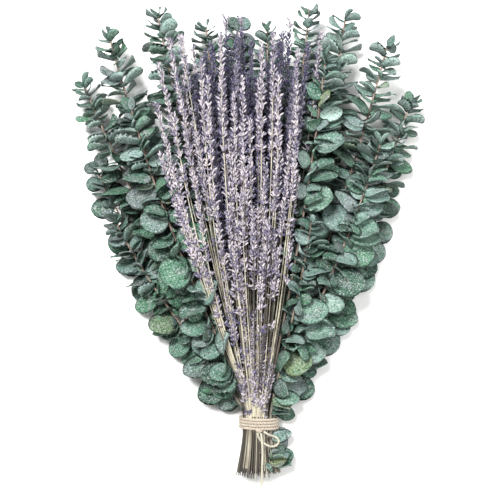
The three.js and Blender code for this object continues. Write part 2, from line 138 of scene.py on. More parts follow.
class TwineSettings(PropertyGroup):
    lay: length("Lay", "Length of one turn of the plies round each other", 9)
    plies: IntProperty(name="Plies", description="Number of yarns twisted together", default=3, min=2)
    hair: length("Loose fibres", "Length of the fibres that stand out of the twine", 3.2)
    jute: colour("Jute", "Warm straw of the tie", "#e0d1be")
    bleached: colour("Bow", "Paler cream of the loop and the tail", "#f0e9d4")


class StageSettings(PropertyGroup):
    lens: FloatProperty(name="Lens", description="Focal length", default=85, subtype="DISTANCE_CAMERA")
    key: FloatProperty(name="Key light", description="Power of the main light", default=41, unit="POWER")
    fill: FloatProperty(name="Fill", description="Strength of the light from all round", default=0.3)
    floor: colour("Floor", "Painted white boards", "#f6f6f4")


# The layout of the bunch

SAME_PLACE = 0.03  # corners this near to one another are the same

# The seeded draw is that of the part's source, so that its leaves and stalks can be found again. Each stem
# or row has a step of seeds to itself
DRAW_FACTOR = 16807
DRAW_MODULUS = 2147483647
SEED_SPREAD = (7919, 104729)
SEED_STEP = 1000
STALK_SEED = 50000
FURTHER_STALK_SEED = 90000
FURTHER_LEAF_SEED = 300000
LOW_LEAF_SEED = 400000
LEAF_LOOK_SEED = 900
STALK_LOOK_SEED = 7000

TIE = (Vector(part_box("twine_wrap")[0]) + Vector(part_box("twine_wrap")[1])) / 2
TIE_HALF_WIDTH = 15.6  # inside the twine
TIE_FLATTEN = 0.8  # height of the oval against its width
TWINE = 2.7  # thickness of a turn of the tie
TURNS = 4
PRESSED_IN = 0.08  # a turn's middle lies this much nearer to the stems than half its thickness
TIE_SIDES = 20
BOW_TWINE = 2.1  # the single strands of the loop and the tail
# The tie rests on the surface, so that its middle lies this high
TIE_HEIGHT = (TIE_HALF_WIDTH + TWINE) * TIE_FLATTEN * math.cos(math.pi / TIE_SIDES)
TIE_TOP = 2 * TIE_HEIGHT
BUTT = 46  # how far the cut ends stand below the tie
BEND_LENGTH = 25  # a stem turns outwards over about this length
BUTT_SPREAD = (1.45, 1.1)  # below the tie the stems lie this much wider apart, across and up
ABOVE_SURFACE = 0.2  # least gap under a stem

STEM_RADII = (1.5, 0.7)
BLADE = 0.7  # thickness of a packed leaf
TRIES = 60  # how many ways a packed leaf may be bent
# Name, place in the tie, tip, how far its leaves lie flat, size, bow, bare length, pairs below the tie,
# and how pale its leaves are
LEAFY_STEMS = [
    ("right_inner", (10.5, 2.3), (46, 182, 52), 0.75, 1.08, 0.3, 16, 3, -0.02),
    ("left_outer", (-11.3, -5.2), (-152, 236, -6), 0.55, 1, 0.3, 22, 0, -0.05),
    ("right_low", (13, -1.4), (118, 214, -6), 0.8, 1.05, 0.3, 22, 3, -0.05),
    ("back_middle", (1.3, -9.2), (-20, 366, -6), 0.6, 0.95, 0.2, 200, 0, -0.2),
    ("left_front", (-9.4, -1.4), (-112, 280, 60), 0.8, 1.12, 0.3, 26, 0, -0.03),
    ("right_front", (6.8, 2.4), (58, 326, 60), 0.75, 1.1, 0.35, 40, 0, 0.13),
    ("right_middle", (9.2, -1.4), (106, 250, 58), 0.75, 1.12, 0.3, 22, 0, 0.08),
    ("left_low", (-12.7, -1.4), (-130, 182, 16), 0.8, 1.05, 0.3, 15, 0, -0.15),
    ("left_inner", (-5.6, -1.4), (-68, 264, 42), 0.8, 1.05, 0.25, 30, 0, -0.1),
    ("left_shoulder", (-6.3, -9.2), (-158, 306, 22), 0.4, 1, 0.25, 40, 0, 0.05),
    ("left_long", (-7.6, -5.2), (-133, 345, 40), 0.4, 1.05, 0.3, 45, 0, 0.05),
    ("left_top", (-3.8, -5.2), (-91, 368, 28), 0.45, 1.05, 0.2, 70, 0, 0.02),
    ("right_long", (7.6, -5.2), (114, 339, 42), 0.5, 1.08, 0.25, 45, 0, 0.1),
    ("right_outer", (11.3, -5.2), (138, 292, 18), 0.45, 1, 0.3, 40, 0, 0.05),
    ("right_top", (3.8, -5.2), (78, 366, 26), 0.5, 1.08, 0.25, 60, 0, 0.18),
    ("right_pale", (0, -5.2), (45, 373, 34), 0.5, 0.9, 0.2, 130, 0, 0.15),
    ("back_left", (-2.5, -9.2), (-48, 358, 20), 0.6, 0.95, 0.2, 200, 0, -0.1),
    ("back_right", (5, -9.2), (8, 356, 20), 0.6, 0.95, 0.2, 200, 0, -0.1),
]

# A leaf is full grown this far from the tip. The spacing of the pairs and the length of a leaf, at the tip
# and where it is full grown
GROWN_AT = 90
PAIR_SPACING = (7.6, 24.4)
PACKED_LENGTHS = (10, 26.5)
# Width against length, curl against length, and length against the usual
PACKED_WIDTHS = (0.88, 1.04)
PACKED_CURLS = (-0.05, 0.1)
PACKED_SIZES = (0.88, 1.12)
# How far a leaf is lifted and opens from its stem, young and grown, and how far it turns flat, in degrees
LIFTS = (0.75, 0.35)
OPENINGS = (62, 74)
TURN_FLAT = -82
# How far its place round the stem, its opening and its turning stray in all, in degrees, and how much
# further with each try, by which it also shrinks
ROLL_STRAYS = (30, 2)
OPENING_STRAYS = (14, 0.8)
LEAN_STRAYS = (30, 3)
PACKED_SHRINKS = 0.006

STALK_RADIUS = 0.6
STALK_TRIES = 500  # how many ways a packed stalk may lie
PAIR_PITCH = 2.75
# Height over the middle of the tie, arch, first pair, number of pairs, nearest and furthest reach
LAVENDER_ROWS = [
    (2.3, 1.4, -13.3, 7, (300, 364)),
    (3.8, 2.7, -11, 7, (270, 352)),
    (5.3, 4, -11, 7, (215, 325)),
    (6.5, 4.8, -8.25, 6, (150, 285)),
]
ROW_HALF_WIDTH = 11.7
SHEAF_LEAN = -16  # the sheaf of lavender leans to the left on its way up
SHEAF_FROM = -4.5  # its middle at the tie
SHEAF_WIDENING = 6.4  # how many times wider it is at the far end than at the tie
SHEAF_LENGTH = 345
SHEAF_HEIGHTS = (44, 78)  # lowest and highest flower heads
STRAY_TIPS = 9  # how far the tips of its stalks stray
STALK_BOWS = (0.1, 0.3)
HEAD_SHARES = (0.17, 0.23)  # length of a flower head against its reach
HEAD_LEAST = 8  # and this much more
# Further stalks that stand between the rows and on them: the row that they follow, how many, their reach,
# where they begin, and how much more than usual they bow up
MORE_STALKS = [
    (0.5, 10, (285, 360), -44, 0),
    (1.5, 12, (235, 345), -45, 0),
    (2.5, 10, (190, 330), -43, 0),
    (3.2, 9, (280, 345), -42, 0.7),
    (3.3, 19, (40, 180), 7, 0),
]
FURTHER_ACROSS = (-10.5, 4.5)  # how far they lie to the left and the right in the tie
FURTHER_TRIES = 12
OVER_LAST_ROW = 3  # height over the last row, for each row that they are past it
CLEAR_FROM = 30  # nearer to the tie the stalks lie close together anyhow
# The short ones begin above the tie. How they rise, the length of their heads and what is bare
SHORT_RISE = 1.1
SHORT_BY = 60
SHORT_HEAD = 40
SHORT_BARE = 12
# Those along the left edge, some of which have sprung out over the leaves: place in the tie, tip and
# length of the head
STRAYS = [
    ((-11, 8), (-88, 280, 75), 78),
    ((-10, 6.5), (-85, 238, 70), 56),
    ((-9.5, 9), (-79, 234, 66), 48),
    ((-10.5, 9.5), (-87, 318, 64), 62),
    ((-9, 9.5), (-71, 204, 62), 46),
    ((-10, 9), (-78, 338, 66), 66),
    ((-8.5, 9.5), (-57, 168, 56), 40),
    ((-8, 10), (-43, 132, 50), 36),
    ((-8, 8.5), (-70, 296, 62), 60),
    ((-7.5, 10), (-64, 256, 66), 52),
    ((-7, 9), (-54, 206, 62), 46),
    ((-7.5, 10.5), (-68, 342, 70), 62),
    ((-8.5, 10), (-74, 272, 68), 54),
]
STRAY_BUTT = 40
STRAY_BOW = 0.2  # least bow, and the steps by which it grows until no packed leaf is crossed
BOW_STEP = 0.02
BOW_TRIES = 30
# A short twig on the stalks below the tie, whose leaves belong to right_inner: place in the tie and cut end
LOW_TWIG = ((7.4, 11.4), 43)
LOW_TWIG_RADII = (0.6, 0.4)
LOW_TWIG_END = 40  # its middle line runs on through the tie to here
LOW_TWIG_SHOWS = -15  # and only what lies below this is drawn
HIGHEST_TIP = 77.5  # further stalks end no higher
# How deep inside the sheaf its stalks and buds are given painted shade, at the tie and where it is
# widest, and how far up that is
SHADED_DEPTHS = (5.5, 26)
WIDEST_AT = 220
REACH_STEP = 20
# Share of the stalks that lie below the usual top, and how far the edge of the sheaf escapes painted shade
USUAL_TOP = 0.93
EDGE_PAINTED_LIGHT = 1.15

# The routes of the two free strands, with their heights over the top of the tie
LOOP_ROUTE = [
    (4.5, -6, 1.7), (6.3, -7.5, 1), (8.3, -8.9, -0.9), (10.2, -10.1, -3.3), (11.9, -11, -5.5),
    (13.6, -11.8, -7.1), (15.5, -12.6, -7.8), (17.1, -14.1, -7.8), (17.9, -16.3, -8), (17.1, -18.5, -8.2),
    (15.2, -20.2, -7.9), (12.8, -20.7, -6.7), (10.5, -20.4, -4.7), (8.3, -19.4, -2.1), (6.1, -18.1, -1.3),
    (3.9, -16.5, -0.9), (2, -14.8, -0.8), (0.3, -12.5, -0.5), (-0.8, -10, 0.4), (-1.3, -7.5, 1.4),
]
TAIL_ROUTE = [
    (1.9, -7.6, 2.1), (2.1, -10.5, 2), (2.4, -13.5, 1.7), (2.8, -16.5, 1.5), (3, -19.5, 0.7),
    (3.1, -22.5, -0.2), (3.2, -26, -0.8), (3.1, -30, -0.8), (3, -34, -0.6), (2.9, -38, -0.5),
    (2.7, -42, -0.6), (2.6, -46, -0.9), (2.5, -49.5, -1.3), (2.4, -52.5, -1.9), (2.2, -56, -2.7),
]
KNOT = Vector((0.5, -4.6, TIE_TOP + 2))
KNOT_HALF_SIZE = (4.2, 2.6, 1.8)


def in_frame(point):
    """A point of the layout in the frame's metres."""
    x, y, z = point
    return Vector((x * MM + TIE.x, y * MM + TIE.y, z * MM))


def between(low, high, share):
    return low + (high - low) * share


def draws(seed):
    """A seeded draw of numbers from 0 to 1."""
    state = (seed * SEED_SPREAD[0] + SEED_SPREAD[1]) % DRAW_MODULUS
    while True:
        state = state * DRAW_FACTOR % DRAW_MODULUS
        yield state / DRAW_MODULUS


def stray(draw, strays, attempt):
    """How far something strays to either side, which grows with each try."""
    return (draw() - 0.5) * (strays[0] + strays[1] * attempt)


def spread(y):
    """How far a stem has spread sideways, with no kink where it leaves the tie."""
    return math.hypot(y, BEND_LENGTH) - BEND_LENGTH


class Stem:
    """The middle line of a stem or stalk, from its cut end to its tip."""

    def __init__(self, tie, tip, bow, base, radii):
        self.tie, self.tip, self.bow, self.base, self.radii = tie, tip, bow, base, radii

    def radius(self, y):
        return between(*self.radii, max(y, 0) / self.tip[1])

    def place(self, y):
        if y < 0:
            share = spread(y) / spread(BUTT)
            across = self.tie[0] * (1 + (BUTT_SPREAD[0] - 1) * share)
            return Vector((across, y, TIE_HEIGHT + self.tie[1] * between(1, BUTT_SPREAD[1], share)))
        out = spread(y) / spread(self.tip[1])
        share = out * (1 + self.bow * (1 - out))
        z = between(TIE_HEIGHT + self.tie[1], self.tip[2], share)
        return Vector((between(self.tie[0], self.tip[0], share), y, max(z, self.radius(y) + ABOVE_SURFACE)))

    def directions(self, y):
        """Along the stem, to its right and up."""
        along = (self.place(y + 1) - self.place(y - 1)).normalized()
        side = along.cross(UP).normalized()
        return along, side, side.cross(along)

    def heights(self, step):
        count = round((self.tip[1] + self.base) / step)
        return [between(-self.base, self.tip[1], number / count) for number in range(count + 1)]


def outwards(side, up, roll, lift=1):
    """A direction across a stem, turned from straight up towards its right."""
    return (up * (math.cos(roll) * lift) + side * math.sin(roll)).normalized()


def solid_points(node):
    """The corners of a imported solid, for finding what lies where."""
    points = [vertex.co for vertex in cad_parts[node].data.vertices]
    tree = KDTree(len(points))
    for number, point in enumerate(points):
        tree.insert(point, number)
    tree.balance()
    return tree


def is_corner(tree, point):
    return tree.find(in_frame(point))[2] < SAME_PLACE * MM


def leaf_pairs(tie, tip, bare, below):
    """Heights of the pairs of leaves, with how grown and how turned flat they are."""
    slope = tip[1] / math.hypot(tip[0] - tie[0], tip[1])
    from_tip = 2.5
    pairs = []
    while tip[1] - from_tip * slope > bare:
        grown = min(from_tip / GROWN_AT, 1)
        pairs.append((tip[1] - from_tip * slope, grown, between(0.25, 1, grown)))
        from_tip += between(*PAIR_SPACING, grown)
    return pairs + [(-14 - 10 * low, 0.25, 1.15) for low in range(below)]


def leaf_choices(row, number, stem, pair, order, hand):
    """The ways in which a leaf may lie, each bent a little further than the one before."""
    face_share, size = row[3], row[4]
    y, grown, turned = pair
    draw = draws(SEED_STEP * (number + 1) + 2 * order + hand).__next__
    facing = math.radians(45 + 90 * (order % 2 + 2 * hand))
    along, side, up = stem.directions(y)
    at = stem.place(y)
    on_stem = at + outwards(side, up, facing) * stem.radius(y) * math.sqrt(0.5)
    on_surface = at.z < stem.radius(y) + 2 * ABOVE_SURFACE
    wide = between(*PACKED_WIDTHS, draw())
    curl = between(*PACKED_CURLS, draw())
    full = between(*PACKED_LENGTHS, math.sqrt(grown)) * size * between(*PACKED_SIZES, draw())
    lift = between(*LIFTS, grown)
    for attempt in range(TRIES):
        roll = facing + math.radians(stray(draw, ROLL_STRAYS, attempt))
        opened = math.radians(between(*OPENINGS, grown) + stray(draw, OPENING_STRAYS, attempt))
        lean = math.radians(TURN_FLAT * turned * face_share + stray(draw, LEAN_STRAYS, attempt))
        lean *= math.copysign(1, math.sin(roll))
        long = full * (1 - PACKED_SHRINKS * attempt)
        pressed = on_surface and attempt % 2 == 0
        out = outwards(side, up, roll, 0.1 if pressed else lift)
        reach = along * math.cos(opened) + out * math.sin(opened)
        leaf = {"root": on_stem.copy(), "length": long, "width": wide * long, "curl": curl, "grown": grown}
        if pressed:
            reach.z = 0
            reach.normalize()
            leaf["root"].z = BLADE / 2
            leaf.update(curl=0, face=UP.copy(), pressed=True)
        else:
            upper = along * math.sin(opened) - out * math.cos(opened)
            leaf["face"] = upper * math.cos(lean) + upper.cross(reach) * math.sin(lean)
        leaf["reach"] = reach
        yield leaf


def leaf_point(leaf, along, across, height):
    sideways = leaf["face"].cross(leaf["reach"])
    lifted = height - leaf["curl"] * leaf["length"] * along * along
    ahead = leaf["reach"] * (along * leaf["length"]) + sideways * (across * leaf["width"])
    return leaf["root"] + ahead + leaf["face"] * lifted


def leaves_on(number, row, stem):
    """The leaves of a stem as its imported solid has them: its corners show which way each leaf lies."""
    name, tie, tip, _, _, _, bare, below, _ = row
    corners = solid_points("eucalyptus_" + name)
    leaves = []
    for order, pair in enumerate(leaf_pairs(tie, tip, bare, below)):
        for hand in (0, 1):
            for leaf in leaf_choices(row, number, stem, pair, order, hand):
                ends = [(1, 0), (0.75, 0.46)]
                if all(is_corner(corners, leaf_point(leaf, *end, BLADE / 2)) for end in ends):
                    leaf["y"] = pair[0]
                    leaves.append(leaf)
                    break
    return leaves


def leafy_stem(row):
    return Stem(row[1], row[2], row[5], BUTT, STEM_RADII)


@functools.cache
def packed_leaves():
    """The leaves of every packed spray, in the order of the layout."""
    return [leaves_on(number, row, leafy_stem(row)) for number, row in enumerate(LEAFY_STEMS)]


@functools.cache
def packed_blades():
    """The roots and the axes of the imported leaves, as arrays."""
    blades = [blade_of(leaf)[:2] for leaves in packed_leaves() for leaf in leaves]
    return [np.array(parts)[:, None] for parts in zip(*blades)]


def crosses_leaf(stalk):
    """Whether a stalk comes through a packed leaf in its flat form."""
    line = np.array([stalk.place(y) for y in stalk.heights(6)])
    return comes_near(line[:-1], line[1:], *packed_blades(), 0, BLADE / 2 + STALK_RADIUS)


def sheaf_stalk(draw, tie, row, reach, base, loose):
    """A stalk of lavender, whose place in the sheaf follows from the tie, and the length of its head."""
    tip_y = between(*reach, draw())
    along = tip_y / SHEAF_LENGTH
    wider = between(1, SHEAF_WIDENING, along)
    tip_x = SHEAF_FROM + SHEAF_LEAN * along + (tie[0] - SHEAF_FROM) * wider
    tip_z = between(*SHEAF_HEIGHTS, row / (len(LAVENDER_ROWS) - 1))
    bow = between(*STALK_BOWS, draw())
    tip = (tip_x + (draw() - 0.5) * loose, tip_y, tip_z + (draw() - 0.5) * loose)
    head = HEAD_LEAST + tip_y * between(*HEAD_SHARES, draw())
    return Stem(tie, tip, bow, base, (STALK_RADIUS, STALK_RADIUS)), head


def stalk_choices(row, pair, side):
    """The ways in which a stalk of lavender may lie."""
    draw = draws(STALK_SEED + SEED_STEP * row + 10 * pair + side).__next__
    up, arch, first, _, reach = LAVENDER_ROWS[row]
    from_middle = (first + PAIR_PITCH * pair) / ROW_HALF_WIDTH
    tie = (first + PAIR_PITCH * (pair + (0.25 if side else -0.25)), up + arch * max(0, 1 - from_middle**2))
    base = BUTT + between(-4, 4, draw())
    for attempt in range(STALK_TRIES):
        yield sheaf_stalk(draw, tie, row, reach, base, STRAY_TIPS * (1 + attempt / 40))


def stalks_of(row, pair, corners):
    """The two stalks of a pair, each with the length of its flower head."""
    found = []
    for side in (0, 1):
        for stalk, head in stalk_choices(row, pair, side):
            _, _, up = stalk.directions(40)
            if is_corner(corners, stalk.place(40) + up * STALK_RADIUS):
                found.append((stalk, head))
                break
    return found


@functools.cache
def packed_stalks():
    """The stalks of every packed pair: the node's name, its row and its two stalks."""
    pairs = [(row, pair) for row, sizes in enumerate(LAVENDER_ROWS) for pair in range(sizes[3])]
    nodes = [f"lavender_pair_{number:02d}" for number in range(1, len(pairs) + 1)]
    return [(node, row, stalks_of(row, pair, solid_points(node))) for node, (row, pair) in zip(nodes, pairs)]


def further_stalk(number, row, count, reach, start, bow, points):
    """The clearest of some stalks at a place between the rows or on them, and the length of its head."""
    last = len(LAVENDER_ROWS) - 1
    low, high = (LAVENDER_ROWS[min(int(row) + more, last)] for more in (0, 1))
    up, arch = (between(low[at], high[at], row % 1) for at in (0, 1))
    draw = draws(FURTHER_STALK_SEED + int(SEED_STEP * row) + number).__next__
    x = between(*FURTHER_ACROSS, (number + between(0.2, 0.8, draw())) / count)
    tie = (x, up + OVER_LAST_ROW * (row - min(row, last)) + arch * (1 - (x / ROW_HALF_WIDTH) ** 2))
    options = [sheaf_stalk(draw, tie, row, reach, -start, STRAY_TIPS) for _ in range(FURTHER_TRIES)]
    short = start > 0
    for stalk, _ in options:
        height = stalk.tip[2]
        if short:
            # It ends sooner than a long one that lies as it does, and so lower
            rise = min(1, SHORT_RISE * spread(stalk.tip[1]) / spread(reach[1] + SHORT_BY))
            height = between(TIE_HEIGHT + tie[1], height, rise)
        stalk.tip = (*stalk.tip[:2], min(height, HIGHEST_TIP))
        stalk.bow += bow
    options = [option for option in options if not crosses_leaf(option[0])] or options
    stalk, head = max(options, key=lambda option: clearance(option[0], points))
    if short:
        # It is in bud almost down to the tie
        head = max(head, min(SHORT_HEAD, stalk.tip[1] - SHORT_BARE))
    return stalk, head


@functools.cache
def more_stalks():
    """The further stalks, in groups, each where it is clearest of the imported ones."""
    packed = [stalk for _, _, stalks in packed_stalks() for stalk, _ in stalks]
    points = [stalk.place(y) for stalk in packed for y in stalk.heights(3)]
    groups = []
    for row, count, *rest in MORE_STALKS:
        groups.append([further_stalk(number, row, count, *rest, points) for number in range(count)])
    strays = []
    for tie, tip, head in STRAYS:
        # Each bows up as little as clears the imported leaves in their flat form
        bows = [STRAY_BOW + BOW_STEP * step for step in range(BOW_TRIES)]
        ways = [Stem(tie, tip, bow, STRAY_BUTT, (STALK_RADIUS, STALK_RADIUS)) for bow in bows]
        strays.append((next((stalk for stalk in ways if not crosses_leaf(stalk)), ways[0]), head))
    return [*groups, strays]


@functools.cache
def sheaf_reach():
    """How far the sheaf reaches at each step along it: its lowest and highest x, and its usual top."""
    stalks = [stalk for _, _, pair in packed_stalks() for stalk, _ in pair]
    stalks += [stalk for group in more_stalks()[:-1] for stalk, _ in group]
    steps = {}
    for stalk in stalks:
        for y in stalk.heights(8):
            steps.setdefault(round(y / REACH_STEP), []).append(stalk.place(y))
    reach = {}
    for step, places in steps.items():
        across = [at.x for at in places]
        reach[step] = (min(across), max(across), np.quantile([at.z for at in places], USUAL_TOP))
    return reach


def sunlit(at):
    """How far a place in the sheaf escapes the painted shade, from 0 deep inside to 1."""
    low, high, top = sheaf_reach().get(round(at.y / REACH_STEP), (at.x, at.x, at.z))
    inside = min(2 * (at.x - low), 2 * (high - at.x), top - at.z)
    depth = between(*SHADED_DEPTHS, min(max(at.y / WIDEST_AT, 0), 1))
    return min(max(EDGE_PAINTED_LIGHT - inside / depth, 0), 1)


def clearance(stalk, points):
    """How near a stalk comes to any of the points, past the tie."""
    line = np.array([stalk.place(y) for y in stalk.heights(12) if y > CLEAR_FROM])
    return min(np.linalg.norm(np.array(points)[:, None] - line, axis=2).min(axis=0), default=0)


def smooth_route(route, step):
    """Points of one smooth curve through a route, with heights over the top of the tie."""
    points = [Vector((x, y, z + TIE_TOP)) for x, y, z in route]
    ends = [points[0] * 2 - points[1], *points, points[-1] * 2 - points[-2]]
    smooth = []
    for before, start, end, after in zip(ends, ends[1:], ends[2:], ends[3:]):
        count = max(1, round((end - start).length / step))
        for number in range(count):
            t = number / count
            bend = (2 * before - 5 * start + 4 * end - after) * t * t
            twist = (3 * start - before - 3 * end + after) * t**3
            smooth.append(start + ((end - before) * t + bend + twist) / 2)
    return smooth + [points[-1]]


def tie_route():
    """Four turns side by side round the oval of stems, starting underneath."""
    steps = 96
    strand = TWINE / 2 - PRESSED_IN
    wide, high = TIE_HALF_WIDTH + strand, TIE_HEIGHT - strand
    half = TURNS * TWINE / 2
    points = []
    for number in range(TURNS * steps + 1):
        angle = number / steps * 2 * math.pi
        y = -half + TWINE * number / steps
        points.append(Vector((wide * math.sin(angle), y, TIE_HEIGHT - high * math.cos(angle))))
    return points


def knot_route():
    """An overhand knot, flattened on the tie."""
    strand = BOW_TWINE / 2
    x, y, z = (half - strand for half in KNOT_HALF_SIZE)
    steps = 72
    points = []
    for number in range(steps + 1):
        t = number / steps * math.tau
        round_it = Vector((math.sin(t) + 2 * math.sin(2 * t), math.cos(t) - 2 * math.cos(2 * t), 0)) / 3
        points.append(KNOT + Vector((round_it.x * x, round_it.y * y, -math.sin(3 * t) * z)))
    return points


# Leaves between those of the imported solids

OVAL = np.array(
    [(0.53 - 0.47 * math.cos(turn), 0.5 * math.sin(turn)) for turn in np.linspace(0, math.tau, 13)]
)
LEAF_GAP = 0.9  # between the blades of two leaves
TWIG_ROOM = 1.5  # round the middle line of a stem, a stalk or the twine
HEAD_ROOM = 3.2  # round that of a flower head
OVER_BOW = 40  # no further leaf lies within this height over the bow
MOST_LEAVES = 4000
# Only leaves and bars whose middle and start are this near to the edge of a leaf are tested against it
NEAR_LEAVES = 16
NEAR_BARS = 12
BOX_MARGINS = (1.2, 0.8)  # how far a leaf's rim stays inside the low and the high faces of the box
# Height at which further leaves begin, on most stems and on those at the back, and their spacing and length
# at the tip and full grown
FURTHER_FROM = (7, 110)
FURTHER_SPACING = (3, 5.6)
FURTHER_LENGTHS = (12.5, 25)
# Width and curl against length, and length against the usual, which shrinks a little with each try
FURTHER_WIDTHS = (0.76, 1)
FURTHER_CURLS = (-0.04, 0.1)
FURTHER_SIZES = (0.78, 1.1)
FURTHER_SHRINKS = 0.022
# How far one opens from its stem, young, grown and at the very tip, and turns flat, in degrees
FURTHER_OPENINGS = (56, 80)
TIP_OPENING = 30
FURTHER_FLAT = -78
# How far the same three stray as in a packed leaf
FURTHER_ROLLS = (50, 16)
FURTHER_OPENING_STRAYS = (36, 0)
FURTHER_LEANS = (60, 0)
LEAF_TRIES = 20
# Leaves below the tie: how many are tried, and between which heights on a stem and on the low twig
LOW_LEAVES = 40
LOW_ON_STEM = (-7, -44)
LOW_ON_TWIG = (-18, -42)
# A leaf counts as covered by those whose middles are this far above and this near, and how many cover it.
# The cover sets how much shade is painted on it
COVER_ABOVE = 3
COVER_NEAR = 11
COVER_FULL = 4


def blade_of(leaf):
    """A leaf as arrays: its root, its axes as shares of its size, its middle and points round its rim."""
    root, reach, face = (np.array(leaf[name]) for name in ("root", "reach", "face"))
    across = np.cross(face, reach)
    axes = np.array([reach / leaf["length"], across / leaf["width"], face])
    ahead = OVAL[:, :1] * reach * leaf["length"]
    lowered = OVAL[:, :1] ** 2 * face * leaf["curl"] * leaf["length"]
    rim = root + ahead + OVAL[:, 1:] * across * leaf["width"] - lowered
    return root, axes, root + reach * leaf["length"] / 2, rim


def comes_near(starts, ends, root, axes, spare, gap):
    """Whether lines cross leaves that are wider by a share, or come nearer to their blades than a gap."""
    low = np.einsum("...ij,...j->...i", axes, starts - root)
    high = np.einsum("...ij,...j->...i", axes, ends - root)
    rise = high[..., 2] - low[..., 2]
    run = np.clip(-low[..., 2] / np.where(rise == 0, 1, rise), 0, 1)
    at = low + (high - low) * run[..., None]
    inside = np.hypot(2 * at[..., 0] - 1, 2 * at[..., 1]) < 1 + spare
    return bool(np.any(inside & (np.abs(at[..., 2]) < gap)))


class Crowd:
    """The leaves and stems that are in place, so that a further leaf can be kept clear of them.

    It tests flat ovals and middle lines. The dents, folds and twist that leaves are given afterwards aren't
    tested, and many finished leaves do cut one another.
    """

    def __init__(self, stems):
        lines = [([stem.place(y) for y in stem.heights(8)], TWIG_ROOM, number) for number, stem in stems]
        stalks = [pair for _, _, pairs in packed_stalks() for pair in pairs]
        stalks += [pair for group in more_stalks() for pair in group]
        for stalk, head in stalks:
            heights = stalk.heights(8)
            start = sum(y < stalk.tip[1] - head for y in heights)
            line = [stalk.place(y) for y in heights]
            lines += [(line[: start + 1], TWIG_ROOM, None), (line[start:], HEAD_ROOM, None)]
        bow = [smooth_route(LOOP_ROUTE, 1.5), smooth_route(TAIL_ROUTE, 1.5)]
        lines += [(route, TWIG_ROOM, None) for route in (*bow, tie_route()[::8])]
        # Bars upright on the bow keep it in sight from above
        lines += [((at, at + OVER_BOW * UP), TWIG_ROOM, None) for route in bow for at in route]
        lines = [line for line in lines if len(line[0]) > 1]
        self.starts = np.concatenate([np.array(points[:-1]) for points, _, _ in lines])
        self.ends = np.concatenate([np.array(points[1:]) for points, _, _ in lines])
        self.room = np.concatenate([np.full(len(points) - 1, room) for points, room, _ in lines])
        owners = [[-1 if own is None else own] * (len(points) - 1) for points, _, own in lines]
        self.owners = np.concatenate(owners)
        shapes = ((3,), (3, 3), (3,), (len(OVAL), 3))
        self.blades = [np.zeros((MOST_LEAVES, *shape)) for shape in shapes]
        self.count = 0
        low, high = ((corner - Vector((TIE.x, TIE.y, 0))) / MM for corner in cad_box)
        self.low, self.high = np.array(low) + BOX_MARGINS[0], np.array(high) - BOX_MARGINS[1]

    def add(self, leaf):
        for store, value in zip(self.blades, blade_of(leaf)):
            store[self.count] = value
        self.count += 1

    def has_room(self, leaf, owner):
        root, axes, middle, rim = blade_of(leaf)
        if np.any(rim < self.low) or np.any(rim > self.high):
            return False
        half = leaf["length"] / 2
        near = np.linalg.norm(self.blades[2][: self.count] - middle, axis=1) < half + NEAR_LEAVES
        roots, blades, _, rims = (store[: self.count][near] for store in self.blades)
        if comes_near(rim[:-1], rim[1:], roots[:, None], blades[:, None], 0, LEAF_GAP):
            return False
        if comes_near(rims[:, :-1], rims[:, 1:], root, axes, 0, LEAF_GAP):
            return False
        bars = np.linalg.norm(self.starts - middle, axis=1) < half + NEAR_BARS
        bars &= self.owners != owner
        room = self.room[bars]
        return not comes_near(self.starts[bars], self.ends[bars], root, axes, room / half, room)


def leaf_places(number, row, stem, spacing):
    """Where a further leaf is tried: its draw, stem, height, how grown it is, its facing and how flat."""
    name, tie, tip, face_share, _, _, bare, below, _ = row
    slope = tip[1] / math.hypot(tip[0] - tie[0], tip[1])
    nearest = FURTHER_FROM[bare > 100]
    order, from_tip = 0, 0.6
    while tip[1] - from_tip * slope > nearest:
        grown = min(from_tip / GROWN_AT, 1)
        for hand in (0, 1):
            draw = draws(FURTHER_LEAF_SEED + SEED_STEP * number + 2 * order + hand).__next__
            yield draw, stem, tip[1] - from_tip * slope, grown, 45 + 97 * order + 180 * hand, face_share
        order += 1
        from_tip += spacing * between(*FURTHER_SPACING, grown)
    for order in range(LOW_LEAVES if below else 0):
        draw = draws(LOW_LEAF_SEED + SEED_STEP * number + order).__next__
        low = order % 2 and name == "right_inner"
        y = between(*(LOW_ON_TWIG if low else LOW_ON_STEM), order / LOW_LEAVES)
        facing = between(60, 100, draw()) * (order % 4 - 2) if low else between(-75, 75, draw())
        yield draw, low_twig() if low else stem, y, 0.3, facing, 0.9


def low_twig():
    tie, end = LOW_TWIG
    return Stem(tie, (tie[0], LOW_TWIG_END, TIE_HEIGHT), 0, end, LOW_TWIG_RADII)


def cover_shade(leaf, leaves):
    """How far a leaf is covered by those above it, from 0 to 1, which sets how much shade is painted on it.
    """
    away = leaves - np.array(leaf["root"] + leaf["reach"] * leaf["length"] / 2)
    over = (away[:, 2] > COVER_ABOVE) & (np.hypot(away[:, 0], away[:, 1]) < COVER_NEAR)
    return min(int(over.sum()) / COVER_FULL, 1)


